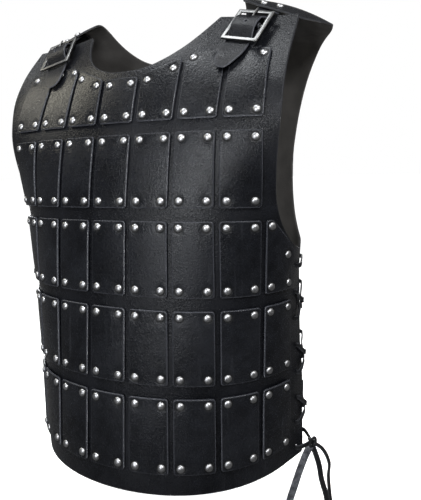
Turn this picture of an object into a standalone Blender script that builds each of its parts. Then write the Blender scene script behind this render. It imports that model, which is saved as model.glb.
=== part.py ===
# Studded leather armour in its worn form: a front panel with riveted plates, a plain back panel,
# two buckled shoulder straps and two laced sides.
# Metres, +Z up. The wearer faces -Y, and the origin lies between the tops of the shoulders.
# Each leather piece is cut flat in pattern coordinates (across, along, out) and then bent round the body.

import math

import bmesh
import bpy
import numpy as np
from mathutils import Matrix, Vector

# Leather and hardware sizes
PANEL_THICKNESS = 0.0028
PLATE_THICKNESS = 0.0030
PLATE_GAP = 0.0008
PLATE_WIDTH = 0.0470
PLATE_MARGIN = 0.0078
PLATE_CORNER = 0.0030
PLATE_BEVEL = 0.0008
COLUMN_PITCH = 0.0530
ROW_PITCH = 0.1006
RIVET_ACROSS = 0.0156
RIVET_RISE = 0.0705
RIVET_RADIUS = 0.0043
RIVET_TOP_RADIUS = 0.0026
RIVET_HEIGHT = 0.0021
RIVET_ROOT = 0.0008
RIVET_SIDES = 6

# Pattern of the panels
HEM = -0.0330
FRONT_SIDE = 0.2715
BACK_SIDE = 0.2050
EYELET_RADIUS = 0.0030
EYELET_INSET = 0.0145
EYELET_TOP = 0.2170
EYELET_PITCH = 0.0340
EYELET_COUNT = 8
HOLE_SIDES = 8

# Lace and its hanging ends
LACE_RADIUS = 0.0016
LACE_CLEARANCE = 0.0011
END_RADIUS = 0.0020
STRAND_GAP = 0.0008
EDGE_SHARE = 0.32
KNOT_SIZE = (0.0120, 0.0100, 0.0150)
KNOT_RISE = 0.0140
KNOT_OFFSET = (0.0105, 0.0070, -0.0030)
KNOT_ENTRY = (-0.60, 0.80, 0.10)
KNOT_CLEARANCE = 0.0008

# Shoulder strap and buckle
STRAP_WIDTH = 0.0320
STRAP_THICKNESS = 0.0022
STRAP_STEP = 0.0066
STRAP_HOLE_RADIUS = 0.0018
STRAP_HOLE_ACROSS = 0.0010
BUCKLE_WIDTH = 0.0480
BUCKLE_LENGTH = 0.0550
BUCKLE_BAR = 0.0050
BUCKLE_THICKNESS = 0.0030
CENTRE_BAR_RADIUS = 0.00175
CENTRE_BAR_DROP = -0.0002
CENTRE_BAR_SIDES = 8
PRONG_RADIUS = 0.0012
PRONG_SLOT_LOW = -0.0016
PRONG_SLOT_HIGH = 0.0028
CHAPE_WIDTH = 0.0320
CHAPE_THICKNESS = 0.0014
CHAPE_SLOT_WIDTH = 0.0050
CURVE_ALLOWANCE = 0.0009
SEAM_GAP = 0.0003

BUCKLE_CENTRE = Vector((0.1461, -0.0630, -0.0407))
BUCKLE_ACROSS = Vector((0.973, -0.065, -0.223)).normalized()
BUCKLE_OUT = Vector((0.089, -0.783, 0.616)).normalized()
BUCKLE_ALONG = BUCKLE_OUT.cross(BUCKLE_ACROSS).normalized()

# One row for each horizontal section of the worn form. A section starts at its middle, at y and z, and
# turns by bend1 * t + bend3 * t^3 + bend5 * t^5 radians, where t is the distance across over BEND_WIDTH.
# It falls by droop * t^3 towards its sides. The columns are along, y, z, droop, bend1, bend3 and bend5.
BEND_WIDTH = 0.240
DIAGONAL_SHEAR = 0.25
FRONT_SECTIONS = (
    (-0.033, -0.1655, -0.5790, 0.001, 0.97, 1.05, -0.75),
    (0.080, -0.1595, -0.4660, 0.003, 0.73, 1.45, -0.85),
    (0.190, -0.1525, -0.3575, 0.001, 0.47, 1.65, -0.66),
    (0.290, -0.1460, -0.2580, 0.001, 0.34, 1.15, -0.21),
    (0.375, -0.1330, -0.1735, 0.002, 0.30, 0.05, 0.12),
    (0.430, -0.1200, -0.1200, 0.002, 0.61, -1.19, 0.32),
    (0.480, -0.1030, -0.0745, 0.006, 0.95, -2.10, 0.57),
    (0.560, -0.0565, -0.0100, 0.012, 1.13, -2.63, 0.80),
)
BACK_SECTIONS = (
    (-0.033, 0.0600, -0.5790, 0.000, 0.30, -0.80, 3.90),
    (0.080, 0.0580, -0.4660, 0.000, 0.30, -0.80, 3.90),
    (0.200, 0.0600, -0.3460, 0.000, 0.30, -0.80, 3.90),
    (0.320, 0.0660, -0.2260, 0.000, 0.30, -0.50, 2.60),
    (0.430, 0.0650, -0.1165, 0.004, 0.25, 0.00, 1.00),
    (0.500, 0.0510, -0.0480, 0.018, 0.15, 0.00, 0.50),
    (0.550, 0.0280, -0.0040, 0.042, 0.05, 0.00, 0.15),
    (0.590, -0.0010, 0.0200, 0.060, 0.00, 0.00, 0.00),
    (0.628, -0.0330, 0.0040, 0.060, 0.00, 0.00, 0.00),
)

# Half outlines, from the middle of the neckline round to the side: across, along
FRONT_NECK = (
    (0.0000, 0.4645), (0.0220, 0.4660), (0.0430, 0.4735),
    (0.0660, 0.4900), (0.0830, 0.5125), (0.1035, 0.5510),
)
FRONT_ARMHOLE = (
    (0.2065, 0.5465), (0.2060, 0.4950), (0.2030, 0.4450), (0.2005, 0.3900), (0.1985, 0.3400),
    (0.2015, 0.3010), (0.2120, 0.2730), (0.2290, 0.2530), (0.2450, 0.2430), (0.2715, 0.2360),
)
BACK_NECK = (
    (0.0000, 0.4970), (0.0400, 0.5000), (0.0740, 0.5120),
    (0.0990, 0.5350), (0.1130, 0.5650), (0.1200, 0.6050),
)
BACK_FRONT_EDGE = ((0.1460, 0.6200), (0.1730, 0.6250), (0.2050, 0.6240), (0.2230, 0.6090))
BACK_ARMHOLE = (
    (0.2350, 0.5900), (0.2290, 0.5550), (0.2130, 0.5050), (0.1930, 0.4500), (0.1770, 0.3900),
    (0.1700, 0.3300), (0.1740, 0.2800), (0.1860, 0.2500), (0.2050, 0.2360),
)

# Lines along which the panels bend, besides the edges of the plates
FRONT_SIDE_LINE = 0.2535
FRONT_TAB_LINES = (0.5040, 0.5260)
BACK_LINES_ACROSS = (0.0500, 0.0940, 0.1300, 0.1520, 0.1680, 0.1810, 0.1930, 0.2140)
BACK_LINES_ALONG = (0.0500, 0.1400, 0.2300, 0.3000, 0.3600, 0.4150, 0.4600, 0.5000, 0.5300)
BACK_TAB_START = 0.5520
BACK_TAB_STEP = 0.0095
BACK_TAB_COUNT = 8

# The rivets that hold a strap under the tab of the back panel: across, along
STRAP_RIVETS = ((0.1510, 0.6100), (0.1720, 0.6100))

# Plates: row, highest column number each side of the middle
PLATE_ROWS = ((1, 3), (2, 3), (3, 4), (4, 4), (5, 4))
# The tops of row 1 follow the neckline. The columns are the plate, its inner and outer top, the cut of
# its inner corner, and its inner and outer rivet.
ROW_1_TOPS = (
    (0, 0.4530, 0.4530, 0.0000, 0.4440, 0.4440),
    (1, 0.4545, 0.4750, 0.0000, 0.4466, 0.4595),
    (2, 0.4840, 0.4840, 0.0140, 0.4735, 0.4750),
    (3, 0.4850, 0.4850, 0.0000, 0.4755, 0.4755),
)
# The outer plate of row 3 is cut off along the armhole
ARMHOLE_CUT = {
    "from_across": 0.1970, "to_along": 0.2390,
    "inner_rivet": (0.1955, 0.2725), "outer_rivet": (0.2215, 0.2365),
}

BLACK_LEATHER = {"name": "black_leather", "colour": (0.020, 0.021, 0.023), "roughness": 0.38, "metallic": 0.0}
PLATE_LEATHER = {"name": "plate_leather", "colour": (0.026, 0.027, 0.030), "roughness": 0.33, "metallic": 0.0}
LACE_LEATHER = {"name": "lace_leather", "colour": (0.012, 0.012, 0.013), "roughness": 0.45, "metallic": 0.0}
BRIGHT_NICKEL = {"name": "bright_nickel", "colour": (0.72, 0.72, 0.70), "roughness": 0.22, "metallic": 1.0}


def clear_scene():
    for thing in list(bpy.data.objects):
        bpy.data.objects.remove(thing, do_unlink=True)


def new_collection(name):
    group = bpy.data.collections.new(name)
    bpy.context.scene.collection.children.link(group)
    return group


def material(look):
    found = bpy.data.materials.get(look["name"])
    if found:
        return found
    made = bpy.data.materials.new(look["name"])
    made.use_nodes = True
    shader = made.node_tree.nodes["Principled BSDF"]
    shader.inputs["Base Color"].default_value = (*look["colour"], 1.0)
    shader.inputs["Roughness"].default_value = look["roughness"]
    shader.inputs["Metallic"].default_value = look["metallic"]
    made.diffuse_color = (*look["colour"], 1.0)
    return made


def section_values(sections, along):
    # Each column follows a smooth curve through the rows.
    rows = np.array(sections)
    knots = rows[:, 0]
    values = rows[:, 1:]
    slopes = np.gradient(values, knots, axis=0)
    slopes[1:-1] = (values[2:] - values[:-2]) / (knots[2:] - knots[:-2])[:, None]
    below = np.clip(np.searchsorted(knots, along) - 1, 0, len(knots) - 2)
    step = knots[below + 1] - knots[below]
    t = (along - knots[below]) / step
    inside = np.clip(t, 0.0, 1.0)[:, None]
    over = ((t - np.clip(t, 0.0, 1.0)) * step)[:, None]
    rise = inside * inside * (3.0 - 2.0 * inside)
    start = inside * (1.0 - inside) ** 2 * step[:, None] * slopes[below]
    end = inside * inside * (inside - 1.0) * step[:, None] * slopes[below + 1]
    blended = (1.0 - rise) * values[below] + rise * values[below + 1] + start + end
    return blended + over * np.where(over > 0.0, slopes[below + 1], slopes[below])


def surface_points(sections, facing, across, along):
    # facing is 1 for the front, which bends back towards +Y, and -1 for the back.
    y, z, droop, bend1, bend3, bend5 = section_values(sections, along).T
    places, weights = np.polynomial.legendre.leggauss(10)
    places = (places + 1.0) / 2.0
    weights = weights / 2.0
    t = np.abs(across)[:, None] * places[None, :] / BEND_WIDTH
    turned = bend1[:, None] * t + bend3[:, None] * t**3 + bend5[:, None] * t**5
    sideways = (np.cos(turned) * weights).sum(axis=1) * across
    backwards = (np.sin(turned) * weights).sum(axis=1) * np.abs(across) * facing
    return np.stack([sideways, y + backwards, z - droop * np.abs(across / BEND_WIDTH) ** 3], axis=1)


def placed(sections, facing, pattern):
    # Pattern points (across, along, out) on the worn form.
    pattern = np.atleast_2d(np.array(pattern, dtype=float))
    across, along, out = pattern.T
    step = 0.001
    point = surface_points(sections, facing, across, along)
    sideways = surface_points(sections, facing, across + step, along)
    sideways -= surface_points(sections, facing, across - step, along)
    upwards = surface_points(sections, facing, across, along + step)
    upwards -= surface_points(sections, facing, across, along - step)
    normal = np.cross(sideways, upwards) * facing
    normal /= np.linalg.norm(normal, axis=1)[:, None]
    return point + normal * out[:, None]


def smooth_through(controls, count):
    # Points evenly spaced along a smooth curve through the controls.
    controls = np.array(controls, dtype=float)
    gaps = np.linalg.norm(np.diff(controls, axis=0), axis=1)
    knots = np.concatenate([[0.0], np.cumsum(gaps)])
    fine = np.linspace(0.0, knots[-1], 40 * len(controls))
    curve = section_values(np.column_stack([knots, controls]), fine)
    lengths = np.concatenate([[0.0], np.cumsum(np.linalg.norm(np.diff(curve, axis=0), axis=1))])
    places = np.linspace(0.0, lengths[-1], count)
    return np.stack([np.interp(places, lengths, column) for column in curve.T], axis=1)


def flat_sheet(outline, across_cuts, along_cuts):
    # One face with the outline, cut along straight lines so that it can bend there.
    work = bmesh.new()
    work.faces.new([work.verts.new((x, y, 0.0)) for x, y in outline])
    cuts = [((value, 0.0, 0.0), (1.0, 0.0, 0.0)) for value in across_cuts]
    cuts += [((0.0, value, 0.0), (0.0, 1.0, 0.0)) for value in along_cuts]
    for place, direction in cuts:
        everything = work.verts[:] + work.edges[:] + work.faces[:]
        bmesh.ops.bisect_plane(work, geom=everything, dist=1e-6, plane_co=place, plane_no=direction)
    return work


def thicken(work, low, high):
    # The flat sheet becomes a slab between two heights.
    bmesh.ops.translate(work, verts=work.verts[:], vec=(0.0, 0.0, low))
    made = bmesh.ops.extrude_face_region(work, geom=work.faces[:])
    raised = [item for item in made["geom"] if isinstance(item, bmesh.types.BMVert)]
    bmesh.ops.translate(work, verts=raised, vec=(0.0, 0.0, high - low))
    bmesh.ops.recalc_face_normals(work, faces=work.faces[:])


def bevel_top_rim(work, height, offset):
    rim = []
    for edge in work.edges:
        level = all(abs(vert.co.z - height) < 1e-7 for vert in edge.verts)
        if level and any(abs(face.normal.z) < 0.5 for face in edge.link_faces):
            rim.append(edge)
    bmesh.ops.bevel(work, geom=rim, offset=offset, segments=1, profile=0.5, affect="EDGES")


def add_cylinder(work, place, direction, radius, top_radius, length, sides):
    turn = Vector((0.0, 0.0, 1.0)).rotation_difference(Vector(direction)).to_matrix().to_4x4()
    bmesh.ops.create_cone(
        work, cap_ends=True, segments=sides, radius1=radius, radius2=top_radius, depth=length,
        matrix=Matrix.Translation(Vector(place)) @ turn @ Matrix.Translation((0.0, 0.0, length / 2.0)),
    )


def as_object(work, name, group, look):
    mesh = bpy.data.meshes.new(name)
    work.to_mesh(mesh)
    work.free()
    made = bpy.data.objects.new(name, mesh)
    mesh.materials.append(material(look))
    group.objects.link(made)
    return made


def combined(work, tools, operation):
    # The flat piece cut by, or joined with, the tools. It comes back as a new bmesh.
    piece = as_object(work, "flat_piece", CUTTERS, BLACK_LEATHER)
    tool = as_object(tools, "flat_tool", CUTTERS, BLACK_LEATHER)
    join = piece.modifiers.new("combine", "BOOLEAN")
    join.operation = operation
    join.solver = "EXACT"
    join.object = tool
    bpy.context.view_layer.update()
    graph = bpy.context.evaluated_depsgraph_get()
    result = bpy.data.meshes.new_from_object(piece.evaluated_get(graph))
    made = bmesh.new()
    made.from_mesh(result)
    for spare in (piece, tool):
        old = spare.data
        bpy.data.objects.remove(spare, do_unlink=True)
        bpy.data.meshes.remove(old)
    bpy.data.meshes.remove(result)
    bmesh.ops.remove_doubles(made, verts=made.verts[:], dist=1e-6)
    return made


def bent_object(work, name, look, place_all):
    # Triangulates the flat piece and moves its points to their worn places. The slight shear meanwhile
    # makes pieces that lie on each other choose the same diagonals.
    for vert in work.verts:
        vert.co.y += DIAGONAL_SHEAR * abs(vert.co.x)
    bmesh.ops.triangulate(work, faces=work.faces[:], quad_method="SHORT_EDGE", ngon_method="BEAUTY")
    for vert in work.verts:
        vert.co.y -= DIAGONAL_SHEAR * abs(vert.co.x)
    points = place_all(np.array([vert.co[:] for vert in work.verts]))
    for vert, point in zip(work.verts, points):
        vert.co = point
    if work.calc_volume(signed=True) < 0.0:
        bmesh.ops.reverse_faces(work, faces=work.faces[:])
    return as_object(work, name, ARMOUR, look)


def on_front(pattern):
    return placed(FRONT_SECTIONS, 1.0, pattern)


def on_back(pattern):
    return placed(BACK_SECTIONS, -1.0, pattern)


def eyelet_heights():
    return [EYELET_TOP - EYELET_PITCH * index for index in range(EYELET_COUNT)]


def mirrored_outline(half):
    # A half outline that starts and ends on the middle line, made whole.
    return half + [(-x, y) for x, y in reversed(half[1:-1])]


def plate_lines_across():
    half = PLATE_WIDTH / 2.0
    lines = []
    for column in range(-4, 5):
        middle = column * COLUMN_PITCH
        lines += [middle - half, middle, middle + half]
    return lines


def row_bottom(row):
    return (5 - row) * ROW_PITCH - PLATE_MARGIN


def row_top(row):
    return row_bottom(row) + RIVET_RISE + 2.0 * PLATE_MARGIN


def row_inner_lines(row):
    # The upper rows bend along their height too, so that they need lines inside the plates.
    low, high = row_bottom(row), row_top(row)
    if row == 1:
        return [low + (high - low) / 3.0, low + (high - low) * 2.0 / 3.0]
    return {2: [(low + high) / 2.0], 3: [ARMHOLE_CUT["to_along"]]}.get(row, [])


def rivet_heads(places, top):
    heads = bmesh.new()
    height = RIVET_ROOT + RIVET_HEIGHT
    for across, along in places:
        place = (across, along, top - RIVET_ROOT)
        add_cylinder(heads, place, (0.0, 0.0, 1.0), RIVET_RADIUS, RIVET_TOP_RADIUS, height, RIVET_SIDES)
    return heads


def make_panel(name, half, across_cuts, along_cuts, side, place_all, rivets=()):
    work = flat_sheet(mirrored_outline(half), across_cuts, along_cuts)
    thicken(work, -PANEL_THICKNESS, 0.0)
    holes = bmesh.new()
    for sign in (-1.0, 1.0):
        for height in eyelet_heights():
            place = (sign * (side - EYELET_INSET), height, -2.0 * PANEL_THICKNESS)
            radius, depth = EYELET_RADIUS, 3.0 * PANEL_THICKNESS
            add_cylinder(holes, place, (0.0, 0.0, 1.0), radius, radius, depth, HOLE_SIDES)
    work = combined(work, holes, "DIFFERENCE")
    if rivets:
        work = combined(work, rivet_heads(rivets, 0.0), "UNION")
    return bent_object(work, name, BLACK_LEATHER, place_all)


def front_panel():
    half = [tuple(point) for point in smooth_through(FRONT_NECK, 9)]
    half += [tuple(point) for point in smooth_through(FRONT_ARMHOLE, 16)]
    half += [(FRONT_SIDE, HEM), (0.0, HEM)]
    across_cuts = plate_lines_across() + [-FRONT_SIDE_LINE, FRONT_SIDE_LINE]
    along_cuts = []
    for row, _ in PLATE_ROWS:
        along_cuts += [row_bottom(row), row_top(row), *row_inner_lines(row)]
    along_cuts += FRONT_TAB_LINES
    make_panel("front_panel", half, across_cuts, along_cuts, FRONT_SIDE, on_front)


def back_panel():
    half = [tuple(point) for point in smooth_through(BACK_NECK, 9)]
    half += list(BACK_FRONT_EDGE)
    half += [tuple(point) for point in smooth_through(BACK_ARMHOLE, 13)]
    half += [(BACK_SIDE, HEM), (0.0, HEM)]
    across_cuts = [0.0] + [sign * value for sign in (-1.0, 1.0) for value in BACK_LINES_ACROSS]
    along_cuts = list(BACK_LINES_ALONG)
    along_cuts += [BACK_TAB_START + BACK_TAB_STEP * index for index in range(BACK_TAB_COUNT)]
    rivets = [(sign * across, along) for sign in (-1.0, 1.0) for across, along in STRAP_RIVETS]
    make_panel("back_panel", half, across_cuts, along_cuts, BACK_SIDE, on_back, rivets)


def corner_cut(outline, size):
    # Replaces each corner by two points that lie the given distance along its two edges.
    made = []
    for index, corner in enumerate(outline):
        here = Vector(corner)
        for other in (Vector(outline[index - 1]), Vector(outline[(index + 1) % len(outline)])):
            made.append(tuple(here + (other - here).normalized() * size))
    return made


def plate_shape(row, column):
    # The outline and rivet places of one plate, for a column on the wearer's left or the middle.
    half = PLATE_WIDTH / 2.0
    middle = column * COLUMN_PITCH
    inner, outer = middle - half, middle + half
    low, high = row_bottom(row), row_top(row)
    first, last = low + PLATE_MARGIN, high - PLATE_MARGIN
    outline = [(inner, low), (outer, low), (outer, high), (inner, high)]
    rivets = [(middle - RIVET_ACROSS, first), (middle + RIVET_ACROSS, first),
              (middle - RIVET_ACROSS, last), (middle + RIVET_ACROSS, last)]
    if row == 1:
        _, inner_top, outer_top, cut, inner_rivet, outer_rivet = ROW_1_TOPS[column]
        outline[2:] = [(outer, outer_top), (inner, inner_top)]
        if cut:
            outline[3:] = [(inner + cut, inner_top), (inner, inner_top - cut)]
        rivets[2:] = [(middle - RIVET_ACROSS, inner_rivet), (middle + RIVET_ACROSS, outer_rivet)]
    if row == 3 and column == 4:
        outline[2:] = [(outer, ARMHOLE_CUT["to_along"]), (ARMHOLE_CUT["from_across"], high), (inner, high)]
        rivets[2:] = [ARMHOLE_CUT["inner_rivet"], ARMHOLE_CUT["outer_rivet"]]
    return corner_cut(outline, PLATE_CORNER), rivets


def make_plate(row, column):
    outline, rivets = plate_shape(row, abs(column))
    if column < 0:
        outline = [(-x, y) for x, y in reversed(outline)]
        rivets = [(-x, y) for x, y in rivets]
    work = flat_sheet(outline, [column * COLUMN_PITCH], row_inner_lines(row))
    top = PLATE_GAP + PLATE_THICKNESS
    thicken(work, PLATE_GAP, top)
    bevel_top_rim(work, top, PLATE_BEVEL)
    name = "plate_r%d_c%d" % (row, column + (3 if row < 3 else 4) + 1)
    bent_object(combined(work, rivet_heads(rivets, top), "UNION"), name, PLATE_LEATHER, on_front)


def plates():
    for row, columns in PLATE_ROWS:
        for column in range(-columns, columns + 1):
            make_plate(row, column)


# The pointed end of the strap: across, along
STRAP_TIP = (
    (-0.0160, 0.0120), (-0.0145, 0.0050), (-0.0110, 0.0010), (-0.0060, 0.0000), (-0.0015, 0.0008),
    (0.0040, 0.0055), (0.0100, 0.0130), (0.0140, 0.0210), (0.0160, 0.0300),
)
# Where the strap lies under the tab of the back panel: across, along
STRAP_UNDER_BACK = ((0.1600, 0.6250), (0.1612, 0.6150), (0.1622, 0.6050),
                    (0.1630, 0.5950), (0.1636, 0.5850), (0.1640, 0.5750))


def buckle_point(across, along, out):
    return BUCKLE_CENTRE + BUCKLE_ACROSS * across + BUCKLE_ALONG * along + BUCKLE_OUT * out


def buckle_station(across, along, out):
    return (*buckle_point(across, along, out), *BUCKLE_ACROSS)


def panel_station(place_all, across, along, out):
    # A point on a panel with the direction across the panel there.
    here, beside = place_all([(across, along, out), (across + 0.001, along, out)])
    sideways = (beside - here) / np.linalg.norm(beside - here)
    return (*here, *sideways)


def ribbon_placer(stations):
    # Bends a flat strip (across, along, out) round the smooth curve through the stations.
    count = 30 * len(stations)
    line = smooth_through([station[:3] for station in stations], count)
    gaps = np.linalg.norm(np.diff([station[:3] for station in stations], axis=0), axis=1)
    marks = np.concatenate([[0.0], np.cumsum(gaps)])
    lengths = np.concatenate([[0.0], np.cumsum(np.linalg.norm(np.diff(line, axis=0), axis=1))])
    marks *= lengths[-1] / marks[-1]
    directions = np.array([station[3:] for station in stations])
    side = np.stack([np.interp(lengths, marks, column) for column in directions.T], axis=1)
    ahead = np.gradient(line, lengths, axis=0)
    normal = np.cross(side, ahead)
    normal /= np.linalg.norm(normal, axis=1)[:, None]
    side = np.cross(ahead, normal)
    side /= np.linalg.norm(side, axis=1)[:, None]

    def place_all(flat):
        def read(values):
            return np.stack([np.interp(flat[:, 1], lengths, column) for column in values.T], axis=1)
        return read(line) + read(side) * flat[:, :1] + read(normal) * flat[:, 2:]

    return place_all, marks


def strap():
    # From the tip, under, over and under the bars of the buckle, then on under the tab of the back panel.
    half = STRAP_THICKNESS / 2.0
    over_plates = PLATE_GAP + PLATE_THICKNESS + RIVET_HEIGHT + SEAM_GAP + half + 1.5 * CURVE_ALLOWANCE
    under_back = -PANEL_THICKNESS - SEAM_GAP - half - CURVE_ALLOWANCE
    stations = [
        panel_station(on_front, 0.1345, 0.4520, over_plates),
        panel_station(on_front, 0.1350, 0.4700, over_plates),
        buckle_station(-0.0022, -0.0272, -0.0038),
        buckle_station(-0.0021, -0.0212, -0.0033),
        buckle_station(-0.0018, -0.0155, 0.0010),
        buckle_station(-0.0015, -0.0095, 0.0052),
        buckle_station(-0.0010, 0.0000, 0.0066),
        buckle_station(-0.0005, 0.0095, 0.0052),
        buckle_station(0.0004, 0.0155, 0.0010),
        buckle_station(0.0012, 0.0212, -0.0035),
        buckle_station(0.0018, 0.0272, -0.0045),
        buckle_station(0.0030, 0.0360, -0.0066),
    ]
    stations += [panel_station(on_back, across, along, under_back) for across, along in STRAP_UNDER_BACK]
    place_all, marks = ribbon_placer(stations)
    length = marks[-1]
    side = STRAP_WIDTH / 2.0
    outline = [*STRAP_TIP, (side, length), (-side, length)]
    steps = int(length / STRAP_STEP)
    work = flat_sheet(outline, [0.0], [length * index / steps for index in range(1, steps)])
    thicken(work, -half, half)
    holes = bmesh.new()
    for along in (marks[6] - 0.0015, marks[10] + 0.0060):
        place = (STRAP_HOLE_ACROSS, along, -STRAP_THICKNESS)
        radius, depth = STRAP_HOLE_RADIUS, 2.0 * STRAP_THICKNESS
        add_cylinder(holes, place, (0.0, 0.0, 1.0), radius, radius, depth, HOLE_SIDES)
    start = marks[6] + 0.0065
    slot_length = marks[9] - start
    slot = bmesh.ops.create_cube(holes, size=1.0)["verts"]
    slot_width = PRONG_SLOT_HIGH - PRONG_SLOT_LOW
    slot_middle = (PRONG_SLOT_HIGH + PRONG_SLOT_LOW) / 2.0
    bmesh.ops.scale(holes, vec=(slot_width, slot_length, 3.0 * STRAP_THICKNESS), verts=slot)
    bmesh.ops.translate(holes, vec=(slot_middle, start + slot_length / 2.0, 0.0), verts=slot)
    return bent_object(combined(work, holes, "DIFFERENCE"), "strap_left", BLACK_LEATHER, place_all)


def chape():
    # The strip that ties the buckle to the front tab: up from the panel, round the centre bar and back.
    turn = CENTRE_BAR_RADIUS + 2.0 * SEAM_GAP + CHAPE_THICKNESS / 2.0
    low = CHAPE_THICKNESS / 2.0 + SEAM_GAP + CURVE_ALLOWANCE / 2.0
    high = low + CHAPE_THICKNESS + SEAM_GAP
    anchors = ((0.1435, 0.4895), (0.1452, 0.4975))
    stations = [panel_station(on_front, across, along, low) for across, along in anchors]
    stations.append(buckle_station(0.0, -0.0100, -0.0078))
    for degrees in range(-60, 211, 30):
        angle = math.radians(degrees)
        stations.append(buckle_station(0.0, turn * math.cos(angle), turn * math.sin(angle)))
    stations.append(buckle_station(0.0, -0.0100, -0.0045))
    stations += [panel_station(on_front, across, along, high) for across, along in reversed(anchors)]
    place_all, marks = ribbon_placer(stations)
    length = marks[-1]
    half = CHAPE_WIDTH / 2.0
    outline = [(-half, 0.0), (half, 0.0), (half, length), (-half, length)]
    wrap = [marks[3] + (marks[12] - marks[3]) * index / 9.0 for index in range(10)]
    flat_runs = [marks[3] * share for share in (0.2, 0.4, 0.6, 0.8)]
    flat_runs += [length - (length - marks[12]) * share for share in (0.2, 0.4, 0.6, 0.8)]
    work = flat_sheet(outline, [], wrap + flat_runs)
    thicken(work, -CHAPE_THICKNESS / 2.0, CHAPE_THICKNESS / 2.0)
    slots = bmesh.new()
    verts = bmesh.ops.create_cube(slots, size=1.0)["verts"]
    start, end = marks[2] + 0.002, marks[13] - 0.002
    bmesh.ops.scale(slots, vec=(CHAPE_SLOT_WIDTH, end - start, 3.0 * CHAPE_THICKNESS), verts=verts)
    bmesh.ops.translate(slots, vec=(0.0, (start + end) / 2.0, 0.0), verts=verts)
    return bent_object(combined(work, slots, "DIFFERENCE"), "chape_left", BLACK_LEATHER, place_all)


def buckle_frame():
    # A mitred rectangular frame with bevelled bars and a round centre bar.
    work = bmesh.new()
    rings = []
    inner = BUCKLE_BAR
    profile = (
        (0.0, -0.5), (0.0, 0.1), (inner * 0.3, 0.5), (inner * 0.7, 0.5), (inner, 0.1), (inner, -0.5),
    )
    for sx, sy in ((-1, -1), (1, -1), (1, 1), (-1, 1)):
        ring = []
        for inset, level in profile:
            x = sx * (BUCKLE_WIDTH / 2.0 - inset)
            y = sy * (BUCKLE_LENGTH / 2.0 - inset)
            ring.append(work.verts.new((x, y, level * BUCKLE_THICKNESS)))
        rings.append([work.edges.new((ring[k], ring[(k + 1) % len(ring)])) for k in range(len(ring))])
    for index in range(4):
        bmesh.ops.bridge_loops(work, edges=rings[index] + rings[(index + 1) % 4])
    bmesh.ops.recalc_face_normals(work, faces=work.faces[:])
    bar = bmesh.new()
    reach = BUCKLE_WIDTH / 2.0 - BUCKLE_BAR / 2.0
    place = (-reach, 0.0, CENTRE_BAR_DROP)
    radius = CENTRE_BAR_RADIUS
    add_cylinder(bar, place, (1.0, 0.0, 0.0), radius, radius, 2.0 * reach, CENTRE_BAR_SIDES)
    turn = Matrix((BUCKLE_ACROSS, BUCKLE_ALONG, BUCKLE_OUT)).transposed()

    def place_all(flat):
        return [BUCKLE_CENTRE + turn @ Vector(point) for point in flat]

    return bent_object(combined(work, bar, "UNION"), "buckle_left", BRIGHT_NICKEL, place_all)


def tube(name, points, radius, look):
    line = bpy.data.curves.new(name, "CURVE")
    line.dimensions = "3D"
    line.bevel_depth = radius
    line.bevel_resolution = 2
    line.use_fill_caps = True
    spline = line.splines.new("POLY")
    spline.points.add(len(points) - 1)
    for point, place in zip(spline.points, points):
        point.co = (*place, 1.0)
    line.materials.append(material(look))
    made = bpy.data.objects.new(name, line)
    ARMOUR.objects.link(made)
    return made


# The prong above the bars, from its loop to its tip: along, out
PRONG_ACROSS = 0.0008
PRONG_LIFTS = ((0.0050, 0.0031), (0.0120, 0.0029), (0.0200, 0.0031), (0.0265, 0.0031), (0.0298, 0.0026))


def prong_points():
    loop = CENTRE_BAR_RADIUS + SEAM_GAP + PRONG_RADIUS
    points = []
    for degrees in range(270, 89, -36):
        angle = math.radians(degrees)
        points.append(buckle_point(0.0, loop * math.cos(angle), loop * math.sin(angle)))
    for along, out in PRONG_LIFTS:
        points.append(buckle_point(PRONG_ACROSS, along, out))
    return points


def mirrored_copy(thing, name):
    # The same piece on the wearer's right.
    work = bmesh.new()
    work.from_mesh(thing.data)
    bmesh.ops.scale(work, vec=(-1.0, 1.0, 1.0), verts=work.verts[:])
    bmesh.ops.reverse_faces(work, faces=work.faces[:])
    mesh = bpy.data.meshes.new(name)
    work.to_mesh(mesh)
    work.free()
    for slot in thing.data.materials:
        mesh.materials.append(slot)
    made = bpy.data.objects.new(name, mesh)
    ARMOUR.objects.link(made)


def shoulders():
    for piece in (strap(), chape(), buckle_frame()):
        mirrored_copy(piece, piece.name.replace("left", "right"))
    points = prong_points()
    tube("prong_left", points, PRONG_RADIUS, BRIGHT_NICKEL)
    tube("prong_right", [(-x, y, z) for x, y, z in points], PRONG_RADIUS, BRIGHT_NICKEL)


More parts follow.
